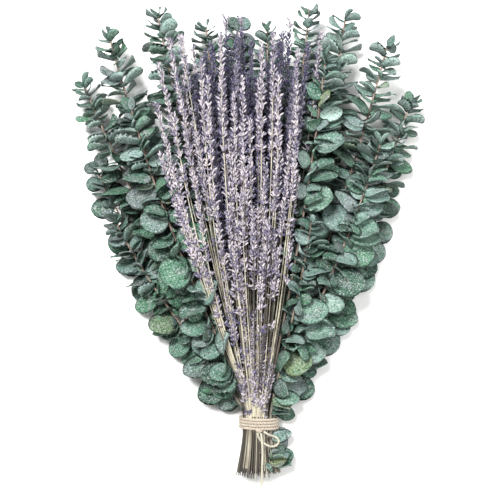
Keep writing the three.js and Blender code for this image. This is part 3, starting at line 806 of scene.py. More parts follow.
def free_leaf(draw, stem, y, grown, facing, face_share, size, crowd, owner):
    """The first of some leaves at a height on a stem that has room, or none."""
    along, side, up = stem.directions(y)
    at_tip = stem.tip[1] - y < 2
    for attempt in range(LEAF_TRIES):
        roll = math.radians(facing + stray(draw, FURTHER_ROLLS, attempt))
        opened = TIP_OPENING if at_tip else between(*FURTHER_OPENINGS, grown)
        opened = math.radians(opened + stray(draw, FURTHER_OPENING_STRAYS, attempt))
        flat = FURTHER_FLAT * between(0.8, face_share, grown) if draw() < between(0.8, 0.55, grown) else 0
        lean = math.radians(flat + stray(draw, FURTHER_LEANS, attempt))
        lean *= math.copysign(1, math.sin(roll))
        long = between(*FURTHER_LENGTHS, math.sqrt(grown)) * size
        long *= between(*FURTHER_SIZES, draw()) * (1 - FURTHER_SHRINKS * attempt)
        wide = long * between(*FURTHER_WIDTHS, draw())
        out = outwards(side, up, roll)
        reach = along * math.cos(opened) + out * math.sin(opened)
        upper = along * math.sin(opened) - out * math.cos(opened)
        face = upper * math.cos(lean) + upper.cross(reach) * math.sin(lean)
        root = stem.place(y) + out * stem.radius(y) * 0.8
        leaf = {"root": root, "reach": reach, "face": face, "length": long, "width": wide, "y": y}
        leaf.update(curl=between(*FURTHER_CURLS, draw()), grown=grown)
        if crowd.has_room(leaf, owner):
            return leaf
    return None


# Meshes, node trees and finished pieces


def placed(name, data):
    """A new object in the scene."""
    item = bpy.data.objects.new(name, data)
    bpy.context.scene.collection.objects.link(item)
    return item


def with_values(name, points, edges, faces, attributes):
    """A mesh with named numbers or vectors on its points."""
    mesh = bpy.data.meshes.new(name)
    mesh.from_pydata(points, edges, faces)
    for label, values in attributes.items():
        is_vector = isinstance(values[0], Vector)
        layer = mesh.attributes.new(label, "FLOAT_VECTOR" if is_vector else "FLOAT", "POINT")
        flat = [part for value in values for part in value] if is_vector else values
        layer.data.foreach_set("vector" if is_vector else "value", flat)
    return mesh


def line_mesh(name, lines, **attributes):
    """Lines of points in the layout as edges in metres, with values on their points."""
    points, edges = [], []
    for line in lines:
        edges += [(len(points) + at, len(points) + at + 1) for at in range(len(line) - 1)]
        points += [in_frame(point) for point in line]
    return with_values(name, points, edges, [], attributes)


def shape_object(name, points, faces, **attributes):
    """An object of points and faces, with numbers on its points."""
    return placed(name, with_values(name, points, [], faces, attributes))


def add(tree, kind, *values, out=0, **settings):
    """Adds a node and returns one of its outputs, or the node where it has none.

    Values and sockets fill the inputs in use, in order. A dictionary gives inputs by name instead.
    """
    node = tree.nodes.new(kind)
    for name, value in settings.items():
        setattr(node, name, value)
    inputs = [item for item in node.inputs if item.enabled]
    filled = []
    for value in values:
        if isinstance(value, dict):
            filled += [(next(i for i in inputs if i.name == name), given) for name, given in value.items()]
        else:
            filled.append((inputs[len(filled)], value))
    for target, value in filled:
        if isinstance(value, bpy.types.NodeSocket):
            tree.links.new(value, target)
        elif target.type == "RGBA":
            target.default_value = (*value[:3], 1)
        else:
            target.default_value = value
    outputs = [item for item in node.outputs if item.enabled]
    if not outputs:
        return node
    return outputs[out] if isinstance(out, int) else next(item for item in outputs if item.name == out)


def geometry_tree(name, inputs):
    """An empty tree of geometry nodes, with its inputs as sockets by name. Each is (name, kind)."""
    tree = bpy.data.node_groups.new(name, "GeometryNodeTree")
    for way in ("INPUT", "OUTPUT"):
        tree.interface.new_socket("Geometry", in_out=way, socket_type="NodeSocketGeometry")
    for label, kind in inputs:
        tree.interface.new_socket(label, in_out="INPUT", socket_type="NodeSocket" + kind)
    return tree, {item.name: item for item in tree.nodes.new("NodeGroupInput").outputs}


def ending(tree, *parts):
    """Joins the parts, shades them smooth and ends the tree."""
    both = tree.nodes.new("GeometryNodeJoinGeometry")
    for part in parts:
        tree.links.new(part, both.inputs[0])
    add(tree, "NodeGroupOutput", add(tree, "GeometryNodeSetShadeSmooth", both.outputs[0]))
    return tree


def swept(tree, line, sides, material):
    """A round bar along a line whose points carry its radius."""
    ring = add(tree, "GeometryNodeCurvePrimitiveCircle", sides, 1.0, mode="RADIUS")
    radius = add(tree, "GeometryNodeInputNamedAttribute", "radius")
    bar = add(tree, "GeometryNodeCurveToMesh", line, ring, radius, True)
    return add(tree, "GeometryNodeSetMaterial", bar, True, material)


def set_on(tree, points, blank, turned, size, material):
    """A copy of an object on every point, as one mesh."""
    shape = add(tree, "GeometryNodeObjectInfo", blank, out="Geometry")
    given = {"Points": points, "Instance": shape, "Rotation": turned, "Scale": size}
    copies = add(tree, "GeometryNodeRealizeInstances", add(tree, "GeometryNodeInstanceOnPoints", given))
    return add(tree, "GeometryNodeSetMaterial", copies, True, material)


def plain_piece(name, source, tree, values):
    """Runs a node tree over a source mesh and keeps what it makes as a plain mesh."""
    maker = placed(name + "_maker", source)
    modifier = maker.modifiers.new(tree.name, "NODES")
    modifier.node_group = tree
    for item in tree.interface.items_tree:
        if item.in_out == "INPUT" and item.name in values:
            modifier[item.identifier] = values[item.name]
    depsgraph = bpy.context.evaluated_depsgraph_get()
    mesh = bpy.data.meshes.new_from_object(
        maker.evaluated_get(depsgraph), preserve_all_data_layers=True, depsgraph=depsgraph
    )
    bpy.data.objects.remove(maker)
    bpy.data.meshes.remove(source)
    mesh.name = name
    return placed(name, mesh)


def finished(piece, slot, *nodes):
    """Puts a piece on the object's one body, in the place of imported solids."""
    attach(piece, "root")
    if nodes:
        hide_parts(*nodes)
    return piece


# Dents of a drying leaf are about 10 mm long: so many come to a metre
DENTS_A_METRE = 95.0
# Buds between these heights, in metres, are pressed down to this size, as under what lay on them
PRESSED_HEIGHTS = (0.0785, 0.0835)
PRESSED_SIZE = 0.6
RING_RADIUS = 0.0006  # of the feet of a ring of buds, in metres
DROPPED = 0.125  # one bud in eight has dropped off
STILL_BLOOMING = 0.86  # buds with a higher tone than this still hold their corolla
# How far the middle of a ply lies from that of the twine, and its radius, against the twine's thickness
PLY_AWAY = 0.235
PLY_RADIUS = 0.265
PLY_STEP = 0.07  # distance between a yarn's rings, against the lay
FIBRES_A_SQUARE_METRE = 330000.0
# A leaf: share of its length, and half its width there against its full width
OUTLINE = [
    (0, 0.05), (0.07, 0.19), (0.2, 0.365), (0.38, 0.475), (0.56, 0.5), (0.73, 0.455), (0.87, 0.335),
    (0.96, 0.18), (1, 0.012),
]
COLUMNS = (-1, -0.6, 0, 0.6, 1)


def leaf_blank(settings):
    """One leaf of unit length and width, a thin closed lens that the node tree sets, sizes and bends."""
    points, faces, index = [], [], {}
    values = {"along": [], "across": [], "rim": [], "under": []}
    for row, (along, half) in enumerate(OUTLINE):
        for column, share in enumerate(COLUMNS):
            on_rim = abs(share) == 1 or row in (0, len(OUTLINE) - 1)
            for under in (0, 1):
                if on_rim and under:
                    index[row, column, 1] = index[row, column, 0]
                    continue
                body = 0 if on_rim else settings.thickness / 2 * math.sqrt(1 - share * share)
                groove = 0.25 * settings.thickness if share == 0 and not on_rim else 0
                index[row, column, under] = len(points)
                points.append((share * half, along, (-body if under else body) - groove))
                sides = (along, share * half, 1.0 if on_rim else abs(share), 0.5 if on_rim else float(under))
                for name, value in zip(values, sides):
                    values[name].append(value)
    for row in range(len(OUTLINE) - 1):
        for column in range(len(COLUMNS) - 1):
            for under in (0, 1):
                corners = [(row, column), (row, column + 1), (row + 1, column + 1), (row + 1, column)]
                face = [index[r, c, under] for r, c in corners]
                faces.append(face[::-1] if under else face)
    return shape_object("leaf_blank", points, faces, **values)


def leafy_tree():
    """Sets a leaf on every loose point, bends it, and sweeps the twig along the line."""
    inputs = [("Leaf", "Object"), ("Dents", "Float"), ("Fold", "Float")]
    tree, given = geometry_tree(
        "Leafy twig", inputs + [("Leaf material", "Material"), ("Twig material", "Material")]
    )
    long, wide, curled, tone, free, folded, twisted, pointed, along, across, rim = [
        add(tree, "GeometryNodeInputNamedAttribute", name)
        for name in (
            "long", "wide", "curled", "tone", "free", "folded", "twisted", "pointed", "along", "across", "rim"
        )
    ]
    face, reach = [
        add(tree, "GeometryNodeInputNamedAttribute", name, data_type="FLOAT_VECTOR")
        for name in ("face", "reach")
    ]
    is_leaf = add(tree, "FunctionNodeCompare", long, 0.0, data_type="FLOAT", operation="GREATER_THAN")
    parts = tree.nodes.new("GeometryNodeSeparateGeometry")
    tree.links.new(given["Geometry"], parts.inputs[0])
    tree.links.new(is_leaf, parts.inputs[1])
    turned = add(tree, "FunctionNodeAxesToRotation", face, reach, primary_axis="Z", secondary_axis="Y")
    size = add(tree, "ShaderNodeCombineXYZ", wide, long, 1.0)
    leaves = set_on(tree, parts.outputs[0], given["Leaf"], turned, size, given["Leaf material"])
    # Each leaf curls down to its tip, its halves fold up, and its free edge has dents
    steps = add(tree, "ShaderNodeMath", along, along, operation="MULTIPLY")
    curl = add(tree, "ShaderNodeMath", steps, curled, operation="MULTIPLY")
    fold = add(tree, "ShaderNodeMath", wide, given["Fold"], operation="MULTIPLY")
    fold = add(tree, "ShaderNodeMath", fold, folded, operation="MULTIPLY")
    fold = add(tree, "ShaderNodeMath", fold, rim, operation="MULTIPLY")
    # Its tone picks the part of the noise that a leaf takes its dents from
    noise = {
        "Vector": add(tree, "GeometryNodeInputPosition"),
        "W": add(tree, "ShaderNodeMath", tone, 40.0, operation="MULTIPLY"),
        "Scale": DENTS_A_METRE,
        "Detail": 2.0,
    }
    noise = add(tree, "ShaderNodeTexNoise", noise, noise_dimensions="4D")
    dents = add(tree, "ShaderNodeMath", noise, 0.5, operation="SUBTRACT")
    dents = add(tree, "ShaderNodeMath", dents, given["Dents"], operation="MULTIPLY")
    loose = add(tree, "ShaderNodeMath", rim, 1.4, 0.5, operation="MULTIPLY_ADD")
    loose = add(tree, "ShaderNodeMath", loose, along, operation="MULTIPLY")
    height = add(tree, "ShaderNodeMath", dents, loose, fold, operation="MULTIPLY_ADD")
    height = add(tree, "ShaderNodeMath", height, free, operation="MULTIPLY")
    height = add(tree, "ShaderNodeMath", height, curl, operation="SUBTRACT")
    # Towards its tip it is also twisted about its midrib, and some run to a point
    twist = add(tree, "ShaderNodeMath", twisted, along, operation="MULTIPLY")
    reaches = add(tree, "ShaderNodeMath", across, wide, operation="MULTIPLY")
    lifted = add(tree, "ShaderNodeMath", twist, operation="SINE")
    height = add(tree, "ShaderNodeMath", lifted, reaches, height, operation="MULTIPLY_ADD")
    drawn_in = add(tree, "ShaderNodeMath", twist, operation="COSINE")
    drawn_in = add(tree, "ShaderNodeMath", drawn_in, 1.0, operation="SUBTRACT")
    narrowed = add(tree, "ShaderNodeMath", steps, pointed, operation="MULTIPLY")
    drawn_in = add(tree, "ShaderNodeMath", drawn_in, narrowed, operation="SUBTRACT")
    drawn_in = add(tree, "ShaderNodeMath", drawn_in, reaches, operation="MULTIPLY")
    side = add(tree, "ShaderNodeVectorMath", reach, face, operation="CROSS_PRODUCT")
    inwards = add(tree, "ShaderNodeVectorMath", side, drawn_in, operation="SCALE")
    offset = add(tree, "ShaderNodeVectorMath", face, height, operation="SCALE")
    offset = add(tree, "ShaderNodeVectorMath", offset, inwards, operation="ADD")
    leaves = add(tree, "GeometryNodeSetPosition", {"Geometry": leaves, "Offset": offset})
    line = add(tree, "GeometryNodeMeshToCurve", parts.outputs[1])
    return ending(tree, swept(tree, line, 8, given["Twig material"]), leaves)


def turned_blank(name, rings, sides, scalloped=0):
    """A closed turned shape of (height, radius) rings, which carries how far along and round it runs."""
    points, faces, along, around = [], [], [], []
    total = max(height for height, _ in rings)
    for number, (height, radius) in enumerate(rings):
        for side in range(sides):
            angle = side * math.tau / sides
            tooth = scalloped * (side % 2) if number == len(rings) - 2 else 0
            points.append((radius * math.cos(angle), radius * math.sin(angle), height - tooth))
            along.append(height / total)
            around.append(side / sides)
    for low in range(0, (len(rings) - 1) * sides, sides):
        for side in range(sides):
            following = (side + 1) % sides
            faces.append((low + side, low + following, low + sides + following, low + sides + side))
    faces.append(tuple(reversed(range(sides))))
    faces.append(tuple(range((len(rings) - 1) * sides, len(rings) * sides)))
    return shape_object(name, points, faces, along=along, around=around)


def bud_blank(settings):
    """A calyx: a ribbed tube with a toothed mouth that is hollow inside."""
    long, wide = settings.bud_length, settings.bud_radius
    rings = [(0, 0.35), (0.4, 1), (1, 0.95), (0.8, 0.4)]
    return turned_blank("bud_blank", [(long * up, wide * out) for up, out in rings], 5, 0.14 * long)


def floret_blank(settings):
    """The crumpled corolla that some buds still hold: five narrow petals, as a closed star."""
    long = settings.bud_length * 0.46
    points, faces = [(0, 0, 0), (0, 0, 0.3 * long)], []
    for petal in range(10):
        angle = petal * math.pi / 5
        out = long * (0.26 if petal % 2 else 0.78)
        lifted = long * (0.75 + 0.25 * math.sin(petal * 2.4))
        points.append((out * math.cos(angle), out * math.sin(angle), lifted))
        first, following = 2 + petal, 2 + (petal + 1) % 10
        faces += [(1, first, following), (0, following, first)]
    return shape_object("floret_blank", points, faces)


def lavender_tree():
    """Sweeps stalks along their lines and sets rings of buds round the upper part of each."""
    inputs = [("Bud", "Object"), ("Floret", "Object"), ("Whorl spacing", "Float"), ("Buds in a ring", "Int")]
    inputs += [("Bud length", "Float"), ("Seed", "Int"), ("Stalk material", "Material")]
    inputs += [("Bud material", "Material"), ("Floret material", "Material")]
    tree, given = geometry_tree("Lavender spikes", inputs)
    seed = add(tree, "ShaderNodeMath", given["Seed"], 17.0, operation="MULTIPLY")
    ranges = [(0, math.tau), (0.15, 1.3), (0, 1), (0.62, 1.15), (-0.0026, 0.0026), (0, 1)]
    spins, leans, tones, sizes, shifts, chances = [
        add(
            tree,
            "FunctionNodeRandomValue",
            {"Min": low, "Max": high, "Seed": add(tree, "ShaderNodeMath", seed, float(number))},
            data_type="FLOAT",
        )
        for number, (low, high) in enumerate(ranges)
    ]
    line = add(tree, "GeometryNodeMeshToCurve", given["Geometry"])
    stalks = swept(tree, line, 5, given["Stalk material"])
    share, sun = [add(tree, "GeometryNodeInputNamedAttribute", name) for name in ("head", "sun")]
    in_head = add(tree, "FunctionNodeCompare", share, 0.0, data_type="FLOAT", operation="GREATER_EQUAL")
    head = add(tree, "GeometryNodeSeparateGeometry", line, in_head, domain="POINT")
    head = add(
        tree, "GeometryNodeResampleCurve", {"Curve": head, "Length": given["Whorl spacing"]}, mode="LENGTH"
    )
    along, here = add(tree, "GeometryNodeInputTangent"), add(tree, "GeometryNodeInputPosition")
    for name, value in (("axis", along), ("centre", here)):
        stored = {"Geometry": head, "Name": name, "Value": value}
        head = add(tree, "GeometryNodeStoreNamedAttribute", stored, data_type="FLOAT_VECTOR", domain="POINT")
    normal = add(tree, "GeometryNodeInputNormal")
    turned = add(tree, "FunctionNodeAxesToRotation", along, normal, primary_axis="Z", secondary_axis="X")
    spin = add(tree, "FunctionNodeEulerToRotation", add(tree, "ShaderNodeCombineXYZ", {"Z": spins}))
    turned = add(tree, "FunctionNodeRotateRotation", turned, spin, rotation_space="LOCAL")
    # The rings stand further apart towards the foot of a head
    likely = add(tree, "ShaderNodeMath", share, 1.5, 0.35, operation="MULTIPLY_ADD")
    here_is = add(tree, "FunctionNodeCompare", likely, chances, data_type="FLOAT", operation="GREATER_THAN")
    ring = add(tree, "GeometryNodeMeshCircle", given["Buds in a ring"], RING_RADIUS)
    ring = {"Points": head, "Selection": here_is, "Instance": ring, "Rotation": turned}
    ring = add(tree, "GeometryNodeRealizeInstances", add(tree, "GeometryNodeInstanceOnPoints", ring))
    axis, centre, pointing, out_of = [
        add(tree, "GeometryNodeInputNamedAttribute", name, data_type="FLOAT_VECTOR")
        for name in ("axis", "centre", "pointing", "outward")
    ]
    outward = add(tree, "ShaderNodeVectorMath", here, centre, operation="SUBTRACT")
    outward = add(tree, "ShaderNodeVectorMath", outward, operation="NORMALIZE")
    # Towards the tip the buds lean out less, and they are smaller
    slim = add(tree, "ShaderNodeMath", share, -0.4, 1.0, operation="MULTIPLY_ADD")
    lean = add(tree, "ShaderNodeMath", leans, slim, operation="MULTIPLY")
    upward = add(tree, "ShaderNodeMath", lean, operation="COSINE")
    upward = add(tree, "ShaderNodeVectorMath", axis, upward, operation="SCALE")
    sideways = add(tree, "ShaderNodeMath", lean, operation="SINE")
    sideways = add(tree, "ShaderNodeVectorMath", outward, sideways, operation="SCALE")
    slim = add(tree, "ShaderNodeMath", share, -0.22, 1.0, operation="MULTIPLY_ADD")
    # The topmost buds are pressed small
    height = add(tree, "ShaderNodeSeparateXYZ", here, out="Z")
    pressed = add(tree, "ShaderNodeMapRange", height, *PRESSED_HEIGHTS, 1.0, PRESSED_SIZE)
    slim = add(tree, "ShaderNodeMath", slim, pressed, operation="MULTIPLY")
    aimed = add(tree, "ShaderNodeVectorMath", upward, sideways, operation="ADD")
    scaled = add(tree, "ShaderNodeMath", sizes, slim, operation="MULTIPLY")
    # The buds carry how far their place escapes the painted shade
    values = {"pointing": aimed, "outward": outward, "tone": tones, "faded": sun, "size": scaled}
    for name, value in values.items():
        kind = "FLOAT_VECTOR" if name in ("pointing", "outward") else "FLOAT"
        stored = {"Geometry": ring, "Name": name, "Value": value}
        ring = add(tree, "GeometryNodeStoreNamedAttribute", stored, data_type=kind, domain="POINT")
    shift = add(tree, "ShaderNodeVectorMath", axis, shifts, operation="SCALE")
    ring = add(tree, "GeometryNodeSetPosition", {"Geometry": ring, "Offset": shift})
    left = add(tree, "FunctionNodeCompare", chances, DROPPED, data_type="FLOAT", operation="GREATER_THAN")
    ring = add(tree, "GeometryNodeSeparateGeometry", ring, left, domain="POINT")
    size, tone = [add(tree, "GeometryNodeInputNamedAttribute", name) for name in ("size", "tone")]
    turned = add(tree, "FunctionNodeAxesToRotation", pointing, out_of, primary_axis="Z", secondary_axis="X")
    buds = set_on(tree, ring, given["Bud"], turned, size, given["Bud material"])
    # The corollas stand in the mouths of the darker buds
    blooming = {"A": tone, "B": STILL_BLOOMING}
    blooming = add(tree, "FunctionNodeCompare", blooming, data_type="FLOAT", operation="GREATER_THAN")
    tips = add(tree, "GeometryNodeSeparateGeometry", ring, blooming, domain="POINT")
    far = add(tree, "ShaderNodeMath", given["Bud length"], size, operation="MULTIPLY")
    far = add(tree, "ShaderNodeMath", far, 0.8, operation="MULTIPLY")
    offset = add(tree, "ShaderNodeVectorMath", pointing, far, operation="SCALE")
    tips = add(tree, "GeometryNodeSetPosition", {"Geometry": tips, "Offset": offset})
    florets = set_on(tree, tips, given["Floret"], turned, size, given["Floret material"])
    return ending(tree, stalks, buds, florets)


def twine_tree():
    """Lays plies round a line, each swept as a yarn."""
    inputs = [("Thickness", "Float"), ("Lay", "Float"), ("Plies", "Int"), ("Twine material", "Material")]
    tree, given = geometry_tree("Twine", inputs)
    line = add(tree, "GeometryNodeMeshToCurve", given["Geometry"])
    step = add(tree, "ShaderNodeMath", given["Lay"], PLY_STEP, operation="MULTIPLY")
    line = add(tree, "GeometryNodeResampleCurve", {"Curve": line, "Length": step}, mode="LENGTH")
    line = add(tree, "GeometryNodeSetCurveNormal", line, mode="MINIMUM_TWIST")
    given_line = {"Geometry": line, "Amount": given["Plies"]}
    ply = add(tree, "GeometryNodeDuplicateElements", given_line, domain="SPLINE", out="Duplicate Index")
    yarns = ply.node.outputs["Geometry"]
    turn = add(tree, "ShaderNodeMath", ply, given["Plies"], operation="DIVIDE")
    run = add(tree, "GeometryNodeSplineParameter", out="Length")
    turns = add(tree, "ShaderNodeMath", run, given["Lay"], operation="DIVIDE")
    turn = add(tree, "ShaderNodeMath", turns, turn, operation="ADD")
    angle = add(tree, "ShaderNodeMath", turn, math.tau, operation="MULTIPLY")
    normal = add(tree, "GeometryNodeInputNormal")
    tangent = add(tree, "GeometryNodeInputTangent")
    across = add(tree, "ShaderNodeVectorMath", tangent, normal, operation="CROSS_PRODUCT")
    ways = []
    for way, part in ((normal, "COSINE"), (across, "SINE")):
        share = add(tree, "ShaderNodeMath", angle, operation=part)
        ways.append(add(tree, "ShaderNodeVectorMath", way, share, operation="SCALE"))
    out = add(tree, "ShaderNodeVectorMath", *ways, operation="ADD")
    away = add(tree, "ShaderNodeMath", given["Thickness"], PLY_AWAY, operation="MULTIPLY")
    offset = add(tree, "ShaderNodeVectorMath", out, away, operation="SCALE")
    yarns = add(tree, "GeometryNodeSetPosition", {"Geometry": yarns, "Offset": offset})
    thick = add(tree, "ShaderNodeMath", given["Thickness"], PLY_RADIUS, operation="MULTIPLY")
    for name, value in (("run", run), ("radius", thick)):
        stored = {"Geometry": yarns, "Name": name, "Value": value}
        yarns = add(tree, "GeometryNodeStoreNamedAttribute", stored, data_type="FLOAT", domain="POINT")
    return ending(tree, swept(tree, yarns, 7, given["Twine material"]))


def fibre_tree():
    """Stands short fibres on a surface, at all angles."""
    inputs = [("Fibre", "Object"), ("Density", "Float"), ("Fibre material", "Material")]
    tree, given = geometry_tree("Loose fibres", inputs)
    points = {"Mesh": given["Geometry"], "Density": given["Density"], "Seed": 3}
    points = add(tree, "GeometryNodeDistributePointsOnFaces", points)
    normal = points.node.outputs["Normal"]
    ranges = {"Min": (-1, -1, -1), "Max": (1, 1, 1), "Seed": 5}
    tumble = add(tree, "FunctionNodeRandomValue", ranges, data_type="FLOAT_VECTOR")
    lean = add(tree, "ShaderNodeVectorMath", normal, 0.4, operation="SCALE")
    lean = add(tree, "ShaderNodeVectorMath", lean, tumble, operation="ADD")
    turned = add(tree, "FunctionNodeAxesToRotation", lean, tumble, primary_axis="Z", secondary_axis="X")
    size = add(tree, "FunctionNodeRandomValue", {"Min": 0.4, "Max": 1.3, "Seed": 9}, data_type="FLOAT")
    return ending(tree, set_on(tree, points, given["Fibre"], turned, size, given["Fibre material"]))


# Materials

# A noise texture's patches are this share of its unit
NOISE_SHARE = 0.6


def new_material(name, roughness, specular=0.5, sheen=0.0):
    """A material, its tree, and where its object's own coordinates come from."""
    material = bpy.data.materials.new(name)
    material.use_nodes = True
    tree = material.node_tree
    shader = tree.nodes["Principled BSDF"]
    shader.inputs["Roughness"].default_value = roughness
    shader.inputs["Specular IOR Level"].default_value = specular
    shader.inputs["Sheen Weight"].default_value = sheen
    return material, tree, add(tree, "ShaderNodeTexCoord", out="Object")


def layered(tree, base, *layers):
    """Lays colours over a base. Each is a value, where it begins and is full, a strength and a colour."""
    for value, begins, full, strength, tint in layers:
        share = add(
            tree, "ShaderNodeMapRange", value, begins, full, 0.0, strength, interpolation_type="SMOOTHSTEP"
        )
        base = add(tree, "ShaderNodeMix", share, base, tint, data_type="RGBA")
    return base


def surfaced(tree, base, height, depth):
    """Gives the shader its colour, and its relief with a depth in millimetres."""
    shader = tree.nodes["Principled BSDF"]
    tree.links.new(base, shader.inputs["Base Color"])
    bump = add(tree, "ShaderNodeBump", {"Height": height, "Distance": depth * MM})
    tree.links.new(bump, shader.inputs["Normal"])


def leaf_material(settings):
    """Dried eucalyptus leaf."""
    # Leathery and matt, with a waxy grey bloom that has rubbed off in grains
    material, tree, place = new_material("Dried eucalyptus leaf", 0.72, 0.35)
    tone, vivid, olive, under, grown, painted_leaf_shade, along, across, rim = [
        add(tree, "ShaderNodeAttribute", attribute_name=name, out="Fac")
        for name in ("tone", "vivid", "olive", "under", "grown", "cover_shade", "along", "across", "rim")
    ]
    # Blotches are about 7 mm across, and the bloom's grains 0.5 mm. Those are drawn 0.9 mm across, to show
    blotch = add(tree, "ShaderNodeTexNoise", {"Vector": place, "Scale": NOISE_SHARE / 0.007, "Detail": 3.0})
    grain = {"Vector": place, "Scale": NOISE_SHARE / 0.0009, "Detail": 3.0, "Roughness": 0.7}
    grain = add(tree, "ShaderNodeTexNoise", grain)
    # The net of small veins has meshes of 1.5 mm, drawn 3 mm wide
    net = {"Vector": place, "Scale": 1 / 0.003}
    net = add(tree, "ShaderNodeTexVoronoi", net, feature="DISTANCE_TO_EDGE")
    across = add(tree, "ShaderNodeMath", across, operation="ABSOLUTE")
    slanted = add(tree, "ShaderNodeMath", across, -0.9, along, operation="MULTIPLY_ADD")
    slanted = add(tree, "ShaderNodeMath", slanted, 10.0, operation="MULTIPLY")
    vein = add(tree, "ShaderNodeMath", slanted, 1.0, operation="PINGPONG")
    base = layered(
        tree,
        settings.dark,
        (tone, 0.0, 0.38, 1.0, settings.green),
        (tone, 0.26, 0.66, 1.0, settings.grey),
        (tone, 0.7, 1.0, 1.0, settings.pale),
        (vivid, 0.6, 0.95, 0.7, linear("#317347")),
        (vivid, 0.28, 0.05, 0.6, linear("#8e9097")),
        (olive, 0.0, 1.0, 0.75, linear("#8f9a5e")),
        (blotch, 0.5, 0.68, 0.55, linear("#4d7f69")),
        (blotch, 0.47, 0.33, 0.6, linear("#83868c")),
        (under, 0.4, 1.0, 0.4, linear("#9db0aa")),
        (net, 0.09, 0.02, 0.22, linear("#b4c0b6")),
        (across, 0.03, 0.012, 0.25, linear("#b4bda6")),
        (vein, 0.14, 0.03, 0.1, linear("#b4bda6")),
        (grown, 0.55, 1.0, 0.35, linear("#335c46")),
        (grain, 0.54, 0.67, 0.68, linear("#c9c7cc")),
        (grain, 0.48, 0.38, 0.74, linear("#101c18")),
        (rim, 0.8, 1.0, 0.65, linear("#1c2420")),
        (grown, 0.3, 0.08, 0.35, linear("#1f4236")),
        # Painted shade: leaves that others cover from above are darkened
        (painted_leaf_shade, 0.0, 1.0, 0.34, linear("#10231d")),
    )
    surfaced(tree, base, grain, 0.3)
    return material


def streaked(tree, place, stretch, width):
    """Streaks that run along a stem, and how far a face looks towards the tips."""
    stretched = add(tree, "ShaderNodeVectorMath", place, (1, stretch, 1), operation="DIVIDE")
    streaks = {"Vector": stretched, "Scale": NOISE_SHARE / width, "Detail": 3.0}
    streaks = add(tree, "ShaderNodeTexNoise", streaks)
    normal = add(tree, "ShaderNodeTexCoord", out="Normal")
    return streaks, add(tree, "ShaderNodeSeparateXYZ", normal, out="Y")


def twig_material(settings):
    """Eucalyptus bark."""
    # Thin, smooth and red-brown, greyer near the cut end, which shows pale wood
    material, tree, place = new_material("Eucalyptus bark", 0.65, 0.4)
    share = add(tree, "ShaderNodeAttribute", attribute_name="share", out="Fac")
    streaks, end = streaked(tree, place, 9, 0.0012)
    base = layered(
        tree,
        settings.twig,
        (streaks, 0.35, 0.65, 0.8, linear("#9d8c7f")),
        (share, 0.5, 0.0, 1.0, linear("#827b70")),
        (end, -0.8, -0.95, 1.0, linear("#d2c6a8")),
    )
    surfaced(tree, base, streaks, 0.3)
    return material


def stalk_material(settings):
    """Dried lavender stalk."""
    # Straw, ribbed lengthwise, some weathered grey, some darker at random, with painted shade deep in the
    # sheaf
    material, tree, place = new_material("Dried lavender stalk", 0.75, 0.35)
    shade = add(tree, "ShaderNodeAttribute", attribute_name="shade", out="Fac")
    streaks, end = streaked(tree, place, 14, 0.0008)
    patches = add(tree, "ShaderNodeTexNoise", {"Vector": place, "Scale": NOISE_SHARE / 0.012, "Detail": 2.0})
    base = layered(
        tree,
        settings.straw,
        (streaks, 0.55, 0.38, 0.6, linear("#8f8875")),
        (patches, 0.5, 0.66, 0.5, linear("#857f8a")),
        # Darker at random, with painted shade deep inside the sheaf and on the lower rows
        (shade, 0.35, 0.75, 0.94, linear("#3f3a33")),
        (end, -0.8, -0.95, 1.0, linear("#e2dac0")),
    )
    surfaced(tree, base, streaks, 0.3)
    return material


def bud_material(settings):
    """Dried calyx."""
    # Downy and ribbed: dark at its foot, grey lilac and then violet at its mouth, or bleached to cream
    material, tree, place = new_material("Dried lavender calyx", 0.8, 0.3, 0.15)
    along, around, tone, faded = [
        add(tree, "ShaderNodeAttribute", attribute_name=name, out="Fac")
        for name in ("along", "around", "tone", "faded")
    ]
    ribs = add(tree, "ShaderNodeMath", around, math.tau * 5, operation="MULTIPLY")
    ribs = add(tree, "ShaderNodeMath", ribs, operation="SINE")
    down = add(tree, "ShaderNodeTexNoise", {"Vector": place, "Scale": NOISE_SHARE / 0.0006, "Detail": 2.0})
    base = layered(
        tree,
        linear("#2f2a3a"),
        (along, 0.08, 0.4, 1.0, settings.lilac),
        (tone, 0.65, 0.3, 0.85, settings.bleached),
        (along, 0.7, 1.0, 0.4, linear("#4d4668")),
        (tone, 0.82, 0.97, 0.75, linear("#4d4668")),
        # Painted shade: buds deep inside the sheaf turn deep violet
        (faded, 0.97, 0.42, 0.93, settings.shade_violet),
        (ribs, 0.1, -0.9, 0.4, linear("#3a3450")),
        (down, 0.52, 0.7, 0.4, linear("#ece8e8")),
    )
    surfaced(tree, base, down, 0.3)
    return material


def floret_material():
    """Dried corolla."""
    # Thin, crumpled and deep violet, paler where it has faded
    material, tree, place = new_material("Dried lavender corolla", 0.7, 0.3, 0.2)
    patches = add(tree, "ShaderNodeTexNoise", {"Vector": place, "Scale": NOISE_SHARE / 0.0016, "Detail": 2.0})
    base = layered(tree, linear("#403963"), (patches, 0.45, 0.68, 0.8, linear("#8a849c")))
    surfaced(tree, base, patches, 0.2)
    return material


def twine_material(name, tint):
    """Jute yarn in a given tint."""
    # Coarse plant fibres, matt and pale gold, with darker and lighter ones among them
    material, tree, place = new_material(name, 0.88, 0.25, 0.1)
    run = add(tree, "ShaderNodeAttribute", attribute_name="run", out="Fac")
    run = add(tree, "ShaderNodeMath", run, 260.0, operation="MULTIPLY")
    # Fibres are about 0.06 mm. They are drawn 0.35 mm wide, so that they show
    fibres = {"Vector": place, "W": run, "Scale": NOISE_SHARE / 0.00035, "Detail": 3.0}
    fibres = add(tree, "ShaderNodeTexNoise", fibres, noise_dimensions="4D")
    dark = tuple(0.33 * part for part in tint)
    base = layered(
        tree, dark, (fibres, 0.38, 0.6, 1.0, tint), (fibres, 0.62, 0.75, 0.5, linear("#fdf8ea"))
    )
    surfaced(tree, base, fibres, 0.4)
    return material


